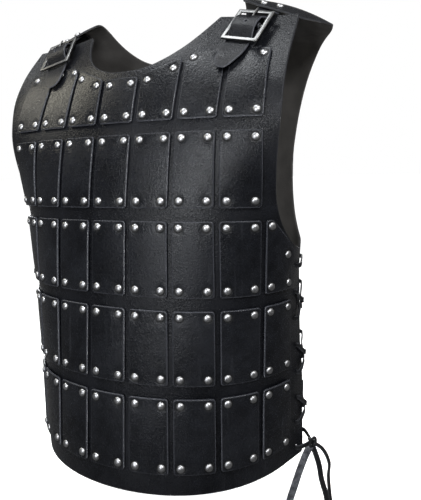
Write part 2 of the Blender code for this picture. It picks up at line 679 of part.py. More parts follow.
def side_lace_points():
    # One lace for the wearer's left side. From the knot it runs up one zigzag, along the top bar and
    # down the other. Its strands cross inside and outside by turns, one a lace's width off the other.
    heights = eyelet_heights()
    front = FRONT_SIDE - EYELET_INSET
    back = BACK_SIDE - EYELET_INSET
    off = LACE_RADIUS + LACE_CLEARANCE
    inside = -PANEL_THICKNESS - off

    def edge(in_front, along, level):
        if in_front:
            return on_front([(FRONT_SIDE, along, level)])[0]
        return on_back([(BACK_SIDE, along, level)])[0]

    def crossing(index, in_front, lift):
        # Past the edge of one panel, over or under the other strand, and past the edge of the other panel.
        outwards = 1.0 if index % 2 else -1.0
        level = off if index % 2 else inside
        drop = heights[index] - heights[index + 1]
        start = edge(in_front, heights[index] - drop * EDGE_SHARE, level)
        end = edge(not in_front, heights[index + 1] + drop * EDGE_SHARE, level)
        lifted = edge(in_front, heights[index] - drop * EDGE_SHARE, level + outwards * lift)
        return [start, (start + end) / 2.0 + (lifted - start), end]

    def strand(starts_in_front, inner_lift, outer_lift):
        points = []
        in_front = starts_in_front
        for index in range(EYELET_COUNT):
            on_panel, across = (on_front, front) if in_front else (on_back, back)
            levels = (inside, off) if index % 2 else (off, inside)
            points += list(on_panel([(across, heights[index], level) for level in levels]))
            if index < EYELET_COUNT - 1:
                points += crossing(index, in_front, outer_lift if index % 2 else inner_lift)
                in_front = not in_front
        return points

    spread = 2.0 * LACE_RADIUS + STRAND_GAP
    first = strand(True, spread, 0.0)
    second = strand(False, 0.0, spread)
    bar = [edge(True, heights[0], off), edge(False, heights[0], off)]
    x, y, z = KNOT_ENTRY
    return [beside_knot((x, y, z))] + first[::-1] + bar + second + [beside_knot((x, -y, z))]


def knot_place():
    front = on_front([(FRONT_SIDE, HEM + KNOT_RISE, 0.0)])[0]
    return tuple(front + np.array(KNOT_OFFSET))


def beside_knot(direction):
    # Where a lace that runs in this direction starts, just clear of the knot.
    direction = Vector(direction).normalized()
    reach = 1.0 / math.sqrt(sum((2.0 * part / size) ** 2 for part, size in zip(direction, KNOT_SIZE)))
    return Vector(knot_place()) + direction * (reach + KNOT_CLEARANCE)


def knot(name, sign):
    x, y, z = knot_place()
    bpy.ops.mesh.primitive_uv_sphere_add(segments=10, ring_count=6, radius=0.5, location=(0.0, 0.0, 0.0))
    made = bpy.context.object
    made.name = name
    made.data.name = name
    made.data.transform(Matrix.Translation((sign * x, y, z)) @ Matrix.Diagonal((*KNOT_SIZE, 1.0)))
    made.data.materials.append(material(LACE_LEATHER))
    for group in list(made.users_collection):
        group.objects.unlink(made)
    ARMOUR.objects.link(made)


# The hanging ends: the direction in which each leaves its knot, then offsets from the knot's middle
LEFT_ENDS = {
    "lace_end_left_a": ((-0.36, -0.60, -0.72), (-0.0062, -0.0095, -0.0130), (-0.0130, -0.0150, -0.0320),
                        (-0.0200, -0.0170, -0.0540), (-0.0270, -0.0180, -0.0760),
                        (-0.0330, -0.0180, -0.0960)),
    "lace_end_left_b": ((0.12, 0.02, -0.99), (0.0045, 0.0008, -0.0170), (0.0080, 0.0020, -0.0300),
                        (0.0110, 0.0030, -0.0500), (0.0170, 0.0030, -0.0720), (0.0190, 0.0030, -0.0980)),
    "lace_end_left_c": ((0.80, 0.30, -0.52), (0.0130, 0.0044, -0.0095), (0.0200, 0.0080, -0.0280),
                        (0.0185, 0.0090, -0.0460), (0.0200, 0.0090, -0.0700), (0.0225, 0.0090, -0.0950)),
}
RIGHT_END = ((-0.10, -0.10, -0.99), (-0.0020, -0.0030, -0.0250), (-0.0010, -0.0030, -0.0420),
             (0.0010, -0.0030, -0.0590))


def end_points(route, count):
    middle = np.array(knot_place())
    controls = [beside_knot(route[0])] + [middle + np.array(offset) for offset in route[1:]]
    return smooth_through(controls, count)


def laces():
    points = side_lace_points()
    tube("lace_left", points, LACE_RADIUS, LACE_LEATHER)
    tube("lace_right", [(-x, y, z) for x, y, z in points], LACE_RADIUS, LACE_LEATHER)
    knot("knot_left", 1.0)
    knot("knot_right", -1.0)
    for name, route in LEFT_ENDS.items():
        tube(name, end_points(route, 14), END_RADIUS, LACE_LEATHER)
    points = [(-x, y, z) for x, y, z in end_points(RIGHT_END, 9)]
    tube("lace_end_right", points, END_RADIUS, LACE_LEATHER)


clear_scene()
ARMOUR = new_collection("studded_leather_armour")
CUTTERS = new_collection("cutters")
CUTTERS.hide_render = True
front_panel()
back_panel()
plates()
shoulders()
laces()
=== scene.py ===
import math

import bmesh
import bpy
import numpy as np
from mathutils import Matrix, Vector


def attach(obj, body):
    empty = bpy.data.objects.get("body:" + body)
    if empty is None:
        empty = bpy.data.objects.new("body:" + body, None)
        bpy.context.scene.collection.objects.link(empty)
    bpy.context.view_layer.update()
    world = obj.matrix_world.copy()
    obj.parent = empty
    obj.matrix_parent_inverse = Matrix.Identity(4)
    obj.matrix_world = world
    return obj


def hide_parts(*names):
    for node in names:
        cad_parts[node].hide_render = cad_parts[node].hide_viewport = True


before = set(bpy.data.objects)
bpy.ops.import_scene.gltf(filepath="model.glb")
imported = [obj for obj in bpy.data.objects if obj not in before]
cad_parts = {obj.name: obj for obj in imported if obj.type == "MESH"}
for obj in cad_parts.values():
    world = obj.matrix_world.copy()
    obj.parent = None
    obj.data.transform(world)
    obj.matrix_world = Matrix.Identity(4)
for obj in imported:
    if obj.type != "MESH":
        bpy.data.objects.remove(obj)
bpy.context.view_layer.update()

# Metres, +Z up, the front faces -Y and the origin lies between the tops of the shoulders.
# Every leather piece is cut flat as a pattern (across, along, out), then bent to its worn place.

def addObject(name, data):
    made = bpy.data.objects.new(name, data)
    bpy.context.scene.collection.objects.link(made)
    return made


def turnBy(degrees, axis):
    return Matrix.Rotation(math.radians(degrees), 4, axis)


print("camera")
cameraView = {
    "place": (0.365, -0.611, -0.215),
    "yaw": 24.31, "pitch": -2.54, "roll": -1.25,  # degrees
    "lens": 35.19, "shift": (-0.038, -0.112),
}


def addCamera(view):
    data = bpy.data.cameras.new("camera")
    data.lens = view["lens"]
    data.shift_x, data.shift_y = view["shift"]
    data.clip_start = 0.01
    eye = addObject("camera", data)
    turn = turnBy(view["yaw"], "Z") @ turnBy(90.0 + view["pitch"], "X") @ turnBy(view["roll"], "Z")
    eye.matrix_world = Matrix.Translation(view["place"]) @ turn
    bpy.context.scene.camera = eye


addCamera(cameraView)


# A Wire is the output socket of a node, and arithmetic on it adds Math nodes

class Wire:
    def __init__(self, tree, socket=None):
        self.tree = tree
        self.socket = socket

    def node(self, kind, settings=None, values=None, output=0):
        made = self.tree.nodes.new(kind)
        for name, value in (settings or {}).items():
            setattr(made, name, value)
        for name, value in (values or {}).items():
            if isinstance(value, Wire):
                self.tree.links.new(value.socket, made.inputs[name])
            else:
                made.inputs[name].default_value = value
        return Wire(self.tree, made.outputs[output])

    def math(self, operation, first, second):
        return self.node("ShaderNodeMath", {"operation": operation}, {0: first, 1: second})

    def __add__(self, other):
        return self.math("ADD", self, other)

    __radd__ = __add__

    def __sub__(self, other):
        return self.math("SUBTRACT", self, other)

    def __rsub__(self, other):
        return self.math("SUBTRACT", other, self)

    def __mul__(self, other):
        return self.math("MULTIPLY", self, other)

    __rmul__ = __mul__

    def step(self, low, high):
        # 0 below low and 1 above high, smooth between
        return self.node("ShaderNodeMapRange", {"interpolation_type": "SMOOTHSTEP"},
                         {"Value": self, "From Min": low, "From Max": high, "To Min": 0.0, "To Max": 1.0})

    def noise(self, place, scale, detail, roughness, shift=0.0):
        values = {"Vector": place, "W": shift, "Scale": scale, "Detail": detail, "Roughness": roughness}
        return self.node("ShaderNodeTexNoise", {"noise_dimensions": "4D"}, values)

    def stretched(self, place, turn, scale):
        return self.node("ShaderNodeMapping", {}, {"Vector": place, "Rotation": turn, "Scale": scale})

    def attribute(self, name):
        return self.node("ShaderNodeAttribute", {"attribute_name": name}, output=2)

    def mix(self, factor, first, second):
        # Colours: 6 and 7 are the colour sockets, and 2 is the colour result
        return self.node("ShaderNodeMix", {"data_type": "RGBA"}, {0: factor, 6: first, 7: second}, 2)


def newMaterial(name, values):
    made = bpy.data.materials.new(name)
    made.use_nodes = True
    tree = made.node_tree
    shader = tree.nodes["Principled BSDF"]
    for socket, value in values.items():
        shader.inputs[socket].default_value = value
    return made, Wire(tree), shader


def feed(shader, socket, value):
    value.tree.links.new(value.socket, shader.inputs[socket])


def addBump(shader, height, strength, distance):
    bump = height.node("ShaderNodeBump", {}, {"Strength": strength, "Distance": distance, "Height": height})
    feed(shader, "Normal", bump)


def leatherMaterial(look):
    # Dressed black leather: a cloudy dark colour, fine grain, faint scuffs, paler rubbed edges that also
    # carry a painted highlight, painted shade in a ring round each rivet and a fine speckle in the sheen
    made, wire, shader = newMaterial(look["name"], {"Specular IOR Level": look["specular"]})
    if look["onPattern"]:
        place = wire.node("ShaderNodeUVMap", {"uv_map": "pattern"})
        shift = wire.attribute("pieceShift")
        rubbedEdgeAndHighlight = 1.0 - wire.attribute("edgeDistance").step(*look["edgeReach"])
        rivet = wire.attribute("rivetDistance")
        # A ring round each rivet: painted shade in the colour, and rougher leather
        ring = rivet.step(*look["ringInside"]) * (1.0 - rivet.step(*look["ringOutside"]))
    else:
        place = wire.node("ShaderNodeTexCoord", output=3)
        shift = 0.0
    clouds = wire.noise(place, look["cloudScale"], 4.0, 0.6, shift).step(0.32, 0.72)
    mottle = wire.noise(place, look["mottleScale"], 5.0, 0.62, shift).step(0.35, 0.75)
    drawn = wire.stretched(place, look["scuffTurn"], look["scuffScale"])
    scuffs = wire.noise(drawn, 1.0, 4.0, 0.55, shift).step(0.6, 0.78)
    colour = wire.mix(clouds * 0.6 + mottle * 0.4, look["dark"], look["pale"])
    colour = wire.mix(scuffs * look["scuffs"], colour, look["scuffColour"])
    roughness = look["roughness"] + clouds * look["roughnessRange"] - mottle * (0.5 * look["roughnessRange"])
    speckle = wire.noise(place, look["speckleScale"], 2.0, 0.7, shift).step(0.4, 0.62)
    roughness = roughness + (0.5 - speckle) * look["speckle"]
    if look["onPattern"]:
        # Paler rubbed edges: the pale rim is partly wear and partly a painted highlight along the edge
        colour = wire.mix(rubbedEdgeAndHighlight * look["edgeWearAndHighlight"], colour, look["edgeWearAndHighlightColour"])
        # Painted shade: a darker ring of colour round each rivet
        colour = wire.mix(ring * look["ring"], colour, look["rivetShadeColour"])
        roughness = roughness + rubbedEdgeAndHighlight * look["edgeRoughness"] + ring * look["ringRoughness"]
    grain = wire.node("ShaderNodeTexVoronoi", {"feature": "SMOOTH_F1"},
                      {"Vector": place, "Scale": look["grainScale"], "Smoothness": 0.6})
    fine = wire.noise(place, 2.6 * look["grainScale"], 2.0, 0.5, shift)
    blotch = wire.noise(place, 0.55 * look["grainScale"], 3.0, 0.6, shift)
    feed(shader, "Base Color", colour)
    feed(shader, "Roughness", roughness)
    height = grain * 0.6 + fine * 0.6 + blotch * 0.9 + mottle * 0.2 - scuffs * 0.2
    addBump(shader, height, look["grain"], look["grainDepth"])
    return made


def suedeMaterial(look):
    # The flesh side: matt, napped, a little browner
    made, wire, shader = newMaterial(look["name"], {"Specular IOR Level": look["specular"]})
    place = wire.node("ShaderNodeUVMap", {"uv_map": "pattern"})
    nap = wire.noise(place, look["napScale"], 3.0, 0.7)
    patches = wire.noise(place, look["patchScale"], 4.0, 0.6).step(0.3, 0.7)
    feed(shader, "Base Color", wire.mix(nap * 0.5 + patches * 0.5, look["dark"], look["pale"]))
    feed(shader, "Roughness", look["roughness"] + nap * 0.12)
    addBump(shader, nap + patches, look["relief"], look["depth"])
    return made


def metalMaterial(look):
    # Plated metal, smeared and brushed along one direction
    made, wire, shader = newMaterial(look["name"], {"Metallic": 1.0})
    place = wire.node("ShaderNodeTexCoord", output=3)
    drawn = wire.stretched(place, look["brushTurn"], look["brushScale"])
    smears = wire.noise(place, look["smearScale"], 3.0, 0.6).step(0.35, 0.7)
    lines = wire.noise(drawn, 1.0, 3.0, 0.65)
    feed(shader, "Base Color", wire.mix(smears * 0.5 + lines * 0.5, look["dark"], look["pale"]))
    feed(shader, "Roughness", look["roughness"] + smears * 0.07 + lines * look["brushed"])
    addBump(shader, lines + smears, look["relief"], look["depth"])
    return made


print("materials")
panelLook = {
    "name": "black_panel_leather", "onPattern": True, "specular": 0.105,
    "dark": (0.001, 0.0011, 0.0015, 1.0), "pale": (0.0036, 0.0039, 0.005, 1.0),
    "cloudScale": 11.0, "mottleScale": 70.0, "roughness": 0.27, "roughnessRange": 0.12,
    "scuffs": 0.25, "scuffColour": (0.02, 0.021, 0.024, 1.0),
    "scuffTurn": (0.0, 0.0, 0.5), "scuffScale": (160.0, 9.0, 9.0),
    # The edge colour is partly wear and partly a painted highlight along the rims
    "edgeWearAndHighlight": 0.12, "edgeRoughness": 0.3, "edgeWearAndHighlightColour": (0.022, 0.023, 0.027, 1.0),
    # The colour round each rivet is painted shade
    "ring": 0.75, "ringRoughness": 0.35, "rivetShadeColour": (0.002, 0.002, 0.002, 1.0),
    "edgeReach": (0.35, 1.7), "ringInside": (3.9, 4.4), "ringOutside": (4.6, 7.0),  # millimetres
    "grainScale": 560.0, "grain": 0.8, "grainDepth": 0.0005,
    "speckleScale": 480.0, "speckle": 0.12,
}
# The plates' strong pale rim is partly wear and partly a painted highlight along their edges
plateLook = dict(panelLook, name="black_plate_leather", specular=0.12, pale=(0.004, 0.0044, 0.0056, 1.0),
                 roughness=0.245, grain=0.7, edgeWearAndHighlight=0.55, edgeRoughness=-0.06, mottleScale=85.0)
strapLook = dict(panelLook, name="black_strap_leather", roughness=0.33, cloudScale=30.0,
                 edgeWearAndHighlight=0.7, edgeRoughness=0.05)
laceLook = dict(panelLook, name="black_lace_leather", dark=(0.0015, 0.0016, 0.0019, 1.0),
                pale=(0.005, 0.0053, 0.006, 1.0), roughness=0.38, edgeWearAndHighlight=0.3, scuffs=0.3,
                cloudScale=60.0, mottleScale=260.0)
knotLook = dict(laceLook, name="black_knot_leather", onPattern=False)
# The pale grey mottle of this lace end is painted sheen on a black, finely grained lace
endLook = dict(strapLook, name="black_lace_end_with_painted_sheen", pale=(0.06, 0.063, 0.07, 1.0),
               cloudScale=160.0, mottleScale=420.0)
suedeLook = {
    "name": "black_flesh_side", "dark": (0.01, 0.0095, 0.009, 1.0), "pale": (0.026, 0.0245, 0.023, 1.0),
    "specular": 0.15, "roughness": 0.82, "napScale": 900.0, "patchScale": 40.0,
    "relief": 0.5, "depth": 0.0003,
}
rivetLook = {
    "name": "bright_rivet_nickel", "dark": (0.12, 0.12, 0.122, 1.0), "pale": (0.34, 0.34, 0.345, 1.0),
    "roughness": 0.36, "smearScale": 420.0, "brushTurn": (0.0, 0.0, 0.0),
    "brushScale": (900.0, 900.0, 900.0), "brushed": 0.05, "relief": 0.35, "depth": 0.00008,
}
buckleLook = dict(rivetLook, name="brushed_buckle_nickel", dark=(0.055, 0.055, 0.054, 1.0),
                  pale=(0.17, 0.17, 0.167, 1.0), roughness=0.26, smearScale=90.0, relief=0.15,
                  brushTurn=(0.9, 0.1, 0.23), brushScale=(60.0, 1500.0, 1500.0), brushed=0.14)

panelLeather = leatherMaterial(panelLook)
plateLeather = leatherMaterial(plateLook)
strapLeather = leatherMaterial(strapLook)
laceLeather = leatherMaterial(laceLook)
knotLeather = leatherMaterial(knotLook)
endLeather = leatherMaterial(endLook)
fleshSide = suedeMaterial(suedeLook)
rivetNickel = metalMaterial(rivetLook)
buckleNickel = metalMaterial(buckleLook)


# The worn form, one row for each horizontal section: along, y, z, droop, bend1, bend3, bend5.
# A section turns by bend1 * t + bend3 * t^3 + bend5 * t^5 radians at t = across / bendWidth
# and falls by droop * t^3.
bendWidth = 0.24
wornForms = {
    "front": {"facing": 1.0, "rows": (
        (-0.033, -0.1655, -0.5790, 0.001, 0.97, 1.05, -0.75),
        (0.080, -0.1595, -0.4660, 0.003, 0.73, 1.45, -0.85),
        (0.190, -0.1525, -0.3575, 0.001, 0.47, 1.65, -0.66),
        (0.290, -0.1460, -0.2580, 0.001, 0.34, 1.15, -0.21),
        (0.375, -0.1330, -0.1735, 0.002, 0.30, 0.05, 0.12),
        (0.430, -0.1200, -0.1200, 0.002, 0.61, -1.19, 0.32),
        (0.480, -0.1030, -0.0745, 0.006, 0.95, -2.10, 0.57),
        (0.560, -0.0565, -0.0100, 0.012, 1.13, -2.63, 0.80),
    )},
    "back": {"facing": -1.0, "rows": (
        (-0.033, 0.0600, -0.5790, 0.000, 0.30, -0.80, 3.90),
        (0.080, 0.0580, -0.4660, 0.000, 0.30, -0.80, 3.90),
        (0.200, 0.0600, -0.3460, 0.000, 0.30, -0.80, 3.90),
        (0.320, 0.0660, -0.2260, 0.000, 0.30, -0.50, 2.60),
        (0.430, 0.0650, -0.1165, 0.004, 0.25, 0.00, 1.00),
        (0.500, 0.0510, -0.0480, 0.018, 0.15, 0.00, 0.50),
        (0.550, 0.0280, -0.0040, 0.042, 0.05, 0.00, 0.15),
        (0.590, -0.0010, 0.0200, 0.060, 0.00, 0.00, 0.00),
        (0.628, -0.0330, 0.0040, 0.060, 0.00, 0.00, 0.00),
    )},
}

# Creases: across and along of one end and of the other, half width, height.
# One with a negative height is a trough.
creases = {
    "front": (
        (-0.205, 0.395, -0.165, 0.520, 0.016, -0.0012),
        (0.203, 0.360, 0.178, 0.500, 0.013, -0.0014),
        (0.208, 0.420, 0.150, 0.478, 0.009, 0.0009),
        (-0.150, 0.500, -0.110, 0.545, 0.010, -0.0008),
        (0.060, 0.478, 0.105, 0.500, 0.011, 0.0007),
        (-0.270, 0.200, -0.215, 0.150, 0.016, -0.0016),
        (-0.265, 0.060, -0.225, 0.100, 0.013, 0.0012),
        (0.268, 0.190, 0.222, 0.215, 0.012, -0.0014),
        (0.262, 0.085, 0.228, 0.020, 0.015, 0.0012),
        (0.240, -0.030, 0.268, 0.030, 0.011, -0.0010),
        (-0.180, 0.275, 0.020, 0.292, 0.030, -0.0008),
        (0.030, 0.080, 0.215, 0.060, 0.034, -0.0009),
        (-0.220, -0.020, -0.020, 0.010, 0.030, 0.0007),
    ),
    "back": (
        (-0.180, 0.170, -0.030, 0.215, 0.017, -0.0022),
        (0.195, 0.205, 0.045, 0.160, 0.014, -0.0026),
        (-0.195, 0.105, -0.070, 0.085, 0.012, 0.0018),
        (0.010, 0.120, 0.170, 0.100, 0.019, -0.0017),
        (-0.140, 0.020, 0.010, 0.055, 0.024, 0.0016),
        (0.198, 0.040, 0.090, 0.000, 0.013, -0.0019),
        (-0.165, 0.330, -0.110, 0.455, 0.016, -0.0021),
        (0.168, 0.345, 0.135, 0.470, 0.012, -0.0018),
        (0.020, 0.400, 0.110, 0.360, 0.028, 0.0014),
        (-0.075, 0.290, 0.030, 0.325, 0.022, -0.0012),
        (-0.205, 0.540, -0.120, 0.520, 0.011, -0.0016),
        (0.215, 0.560, 0.140, 0.528, 0.012, -0.0014),
        (0.060, 0.470, 0.000, 0.440, 0.015, -0.0010),
    ),
}


def sectionValues(rows, along):
    # Each column follows a smooth curve through the rows
    rows = np.array(rows)
    knots, values = rows[:, 0], rows[:, 1:]
    slopes = np.gradient(values, knots, axis=0)
    slopes[1:-1] = (values[2:] - values[:-2]) / (knots[2:] - knots[:-2])[:, None]
    below = np.clip(np.searchsorted(knots, along) - 1, 0, len(knots) - 2)
    gap = knots[below + 1] - knots[below]
    t = (along - knots[below]) / gap
    inside = np.clip(t, 0.0, 1.0)[:, None]
    over = ((t - np.clip(t, 0.0, 1.0)) * gap)[:, None]
    rise = inside * inside * (3.0 - 2.0 * inside)
    start = inside * (1.0 - inside) ** 2 * gap[:, None] * slopes[below]
    end = inside * inside * (inside - 1.0) * gap[:, None] * slopes[below + 1]
    blended = (1.0 - rise) * values[below] + rise * values[below + 1] + start + end
    return blended + over * np.where(over > 0.0, slopes[below + 1], slopes[below])


def formPoints(form, across, along):
    y, z, droop, bend1, bend3, bend5 = sectionValues(form["rows"], along).T
    places, weights = np.polynomial.legendre.leggauss(10)
    t = np.abs(across)[:, None] * (places + 1.0)[None, :] / (2.0 * bendWidth)
    turned = bend1[:, None] * t + bend3[:, None] * t**3 + bend5[:, None] * t**5
    sideways = (np.cos(turned) * weights).sum(axis=1) * across / 2.0
    backwards = (np.sin(turned) * weights).sum(axis=1) * np.abs(across) * form["facing"] / 2.0
    return np.stack([sideways, y + backwards, z - droop * np.abs(across / bendWidth) ** 3], axis=1)


def creaseHeight(side, across, along):
    height = np.zeros(len(across))
    for startAcross, startAlong, endAcross, endAlong, width, depth in creases[side]:
        run = np.array((endAcross - startAcross, endAlong - startAlong))
        t = ((across - startAcross) * run[0] + (along - startAlong) * run[1]) / (run @ run)
        held = np.clip(t, 0.0, 1.0)
        gap = np.hypot(across - startAcross - held * run[0], along - startAlong - held * run[1])
        height += depth * np.exp(-((gap / width) ** 2)) * (1.0 - 0.75 * (2.0 * held - 1.0) ** 4)
    return height


def unit(vectors):
    return vectors / np.linalg.norm(vectors, axis=1)[:, None]


def worn(side, pattern):
    # Pattern points (across, along, out) in their worn place, creases and all
    form = wornForms[side]
    across, along, out = np.atleast_2d(np.array(pattern, dtype=float)).T
    step = 0.001
    point = formPoints(form, across, along)
    sideways = formPoints(form, across + step, along) - formPoints(form, across - step, along)
    upwards = formPoints(form, across, along + step) - formPoints(form, across, along - step)
    normal = unit(np.cross(sideways, upwards) * form["facing"])
    return point + normal * (out + creaseHeight(side, across, along))[:, None]


def lengthsAlong(points):
    # How far each point lies along the line through all of them
    return np.concatenate([[0.0], np.cumsum(np.linalg.norm(np.diff(points, axis=0), axis=1))])


def readAt(places, lengths, values):
    return np.stack([np.interp(places, lengths, column) for column in values.T], axis=1)


def smoothThrough(controls, count):
    # Evenly spaced points on a smooth curve through the controls
    controls = np.array(controls, dtype=float)
    knots = lengthsAlong(controls)
    dense = np.linspace(0.0, knots[-1], 40 * len(controls))
    curve = sectionValues(np.column_stack([knots, controls]), dense)
    lengths = lengthsAlong(curve)
    return readAt(np.linspace(0.0, lengths[-1], count), lengths, curve)


cutting = {
    "sharpTurn": 0.6,  # radians, the least turn that counts as a corner
    "holeRoom": 0.0025,  # round a punched hole, kept free of other cuts
    "holeSides": 12, "holeCuts": (0.0011, 0.0005, 0.0),  # two rounds outside the hole, then the hole
    "rimInsets": (0.33, 0.67, 0.6),  # each as a share of the radius of the piece's edge
}
flatPieces = {}  # each pattern that has been cut, for the pieces that share it
bothSides = ((1.0, "left"), (-1.0, "right"))


def roundedCorners(outline, radius):
    # Each sharp corner becomes a short arc
    made = []
    for index, corner in enumerate(outline):
        here = Vector(corner)
        before = Vector(outline[index - 1]) - here
        after = Vector(outline[(index + 1) % len(outline)]) - here
        if before.angle(-after) < cutting["sharpTurn"]:
            made.append(tuple(here))
            continue
        size = min(radius, 0.45 * before.length, 0.45 * after.length)
        start, end = here + before.normalized() * size, here + after.normalized() * size
        for t in (0.0, 0.25, 0.5, 0.75, 1.0):
            made.append(tuple(start * (1.0 - t) ** 2 + here * (2.0 * t * (1.0 - t)) + end * t**2))
    return made


def fillLines(fixed, low, high, step):
    # The fixed lines and evenly spaced ones between them
    marks = [low] + sorted(line for line in set(fixed) if low < line < high) + [high]
    lines = list(marks[1:-1])
    for start, end in zip(marks, marks[1:]):
        parts = max(1, math.ceil((end - start) / step))
        lines += [start + (end - start) * k / parts for k in range(1, parts)]
    return lines


def cutLines(work, lines, axis):
    direction = (1.0, 0.0, 0.0) if axis == 0 else (0.0, 1.0, 0.0)
    for line in lines:
        place = Vector(direction) * line
        everything = work.verts[:] + work.edges[:] + work.faces[:]
        bmesh.ops.bisect_plane(work, geom=everything, dist=2e-5, plane_co=place, plane_no=direction)


def punchHole(work, across, along, radius):
    # Straight cuts round the hole, from the outside in, then the disc inside comes out
    centre = Vector((across, along, 0.0))
    cell = radius + cutting["holeRoom"]
    near = [face for face in work.faces
            if max(abs(part) for part in (face.calc_center_median() - centre)[:2]) < cell]
    geom = list({part for face in near for part in (*face.verts, *face.edges, face)})
    for grow in cutting["holeCuts"]:
        for index in range(cutting["holeSides"]):
            angle = math.tau * index / cutting["holeSides"]
            direction = Vector((math.cos(angle), math.sin(angle), 0.0))
            place = centre + direction * (radius + grow)
            cut = bmesh.ops.bisect_plane(work, geom=geom, dist=1e-6, plane_co=place, plane_no=direction)
            geom = cut["geom"]
    disc = [part for part in geom if isinstance(part, bmesh.types.BMFace)
            and (part.calc_center_median() - centre).length < 0.9 * radius]
    bmesh.ops.delete(work, geom=disc, context="FACES")


def edgeGaps(flat, outline, holes):
    # How far each point lies from the outline or the nearest hole
    corners = np.array(outline)
    nearest = np.full(len(flat), 1.0)
    for start, end in zip(corners, np.roll(corners, -1, axis=0)):
        run = end - start
        t = np.clip(((flat[:, :2] - start) @ run) / max(run @ run, 1e-12), 0.0, 1.0)
        nearest = np.minimum(nearest, np.hypot(*(flat[:, :2] - start - t[:, None] * run).T))
    for across, along, radius in holes:
        rim = radius * 1.01  # the cut hole's sides lie on the radius and its corners outside it
        nearest = np.minimum(nearest, np.abs(pointGaps(flat, [(across, along)]) - rim))
    return nearest


def pointGaps(flat, places):
    nearest = np.full(len(flat), 1.0)
    for across, along in places:
        nearest = np.minimum(nearest, np.hypot(flat[:, 0] - across, flat[:, 1] - along))
    return nearest


def meshFrom(work, name):
    mesh = bpy.data.meshes.new(name)
    work.to_mesh(mesh)
    work.free()
    return mesh


def readOut(items, name, width=3, kind=float):
    # One property of all the points, faces or corners of a mesh, a row for each
    values = np.empty(len(items) * width, kind)
    items.foreach_get(name, values)
    return values.reshape(-1, width)


def liftAdded(work, extruded, height):
    # Moves the points that an extrusion has added
    added = [part for part in extruded["geom"] if isinstance(part, bmesh.types.BMVert)]
    bmesh.ops.translate(work, verts=added, vec=(0.0, 0.0, height))


def signedVolume(mesh):
    mesh.calc_loop_triangles()
    corners = readOut(mesh.loop_triangles, "vertices", kind=int)
    return np.linalg.det(readOut(mesh.vertices, "co")[corners]).sum()


def finishPiece(name, mesh, looks, nodes=()):
    # Every piece rides on the armour, and most take the place of a CAD node
    mesh.shade_smooth()
    for look in looks:
        mesh.materials.append(look)
    if signedVolume(mesh) < 0.0:
        mesh.flip_normals()
    made = addObject(name, mesh)
    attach(made, "root")
    if nodes:
        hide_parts(*nodes)
    return made


def cutPiece(outline, cut, holes, slots, lines):
    # The flat piece with its holes and slots, as one closed slab
    work = bmesh.new()
    face = work.faces.new([work.verts.new((x, y, 0.0)) for x, y in outline])
    for share in cutting["rimInsets"]:
        bmesh.ops.inset_individual(work, faces=[face], thickness=share * cut["rim"], use_even_offset=True)
    fixed = [list(marks) for marks in lines]
    for axis in (0, 1):
        for hole in holes:
            cell = hole[2] + cutting["holeRoom"]
            fixed[axis] += [hole[axis] - cell, hole[axis] + cell]
        for slot in slots:
            fixed[axis] += slot[2 * axis:2 * axis + 2]
        fixed[axis] = sorted({round(mark, 5) for mark in fixed[axis]})
        cutLines(work, fixed[axis], axis)
    for hole in holes:
        punchHole(work, *hole)
    for axis, reach in enumerate(np.array(outline).T):
        more = fillLines(fixed[axis], reach.min(), reach.max(), cut["step"])
        cutLines(work, set(more) - set(fixed[axis]), axis)
    for low, high, start, end in slots:
        inside = [face for face in work.faces if low < face.calc_center_median().x < high
                  and start < face.calc_center_median().y < end]
        bmesh.ops.delete(work, geom=inside, context="FACES")
    liftAdded(work, bmesh.ops.extrude_face_region(work, geom=work.faces[:]), cut["thickness"])
    bmesh.ops.recalc_face_normals(work, faces=work.faces[:])
    return meshFrom(work, "flat_piece")


def leatherPiece(name, outline, cut, place, looks, nodes, holes=(), rivets=(), slots=(),
                 lines=((), ()), middle=(0.0, 0.0), shift=0.0):
    # cut gives the low side, thickness, edge radius and grid step. The pattern is measured
    # from middle, so that like pieces are cut only once.
    key = str([[round(float(x), 5), round(float(y), 5)] for x, y in outline]) + str(cut["thickness"])
    if key not in flatPieces:
        flatPieces[key] = cutPiece(outline, cut, holes, slots, lines)
    mesh = flatPieces[key].copy()
    mesh.name = name
    flat = readOut(mesh.vertices, "co")
    edge = edgeGaps(flat, outline, holes)
    nearRivet = pointGaps(flat, rivets)
    inwards = np.clip(cut["rim"] - edge, 0.0, None)
    drop = cut["rim"] - np.sqrt(cut["rim"] ** 2 - inwards**2)
    flat[:, 2] = cut["low"] + np.where(flat[:, 2] > cut["thickness"] / 2.0, cut["thickness"] - drop, drop)
    flat[:, :2] += middle
    if len(looks) > 1:
        facing = readOut(mesh.polygons, "normal")[:, 2]
        mesh.polygons.foreach_set("material_index", (facing < -0.5).astype(int))
    corner = readOut(mesh.loops, "vertex_index", 1, int).ravel()
    pattern = mesh.uv_layers.new(name="pattern")
    pattern.data.foreach_set("uv", flat[corner][:, :2].ravel())
    # The two distances are in millimetres
    for attribute, values in (("edgeDistance", edge * 1000.0), ("rivetDistance", nearRivet * 1000.0),
                              ("pieceShift", np.full(len(flat), shift))):
        mesh.attributes.new(attribute, "FLOAT", "POINT").data.foreach_set("value", values)
    mesh.vertices.foreach_set("co", np.asarray(place(flat)).ravel())
    mesh.update()
    return finishPiece(name, mesh, looks, nodes)


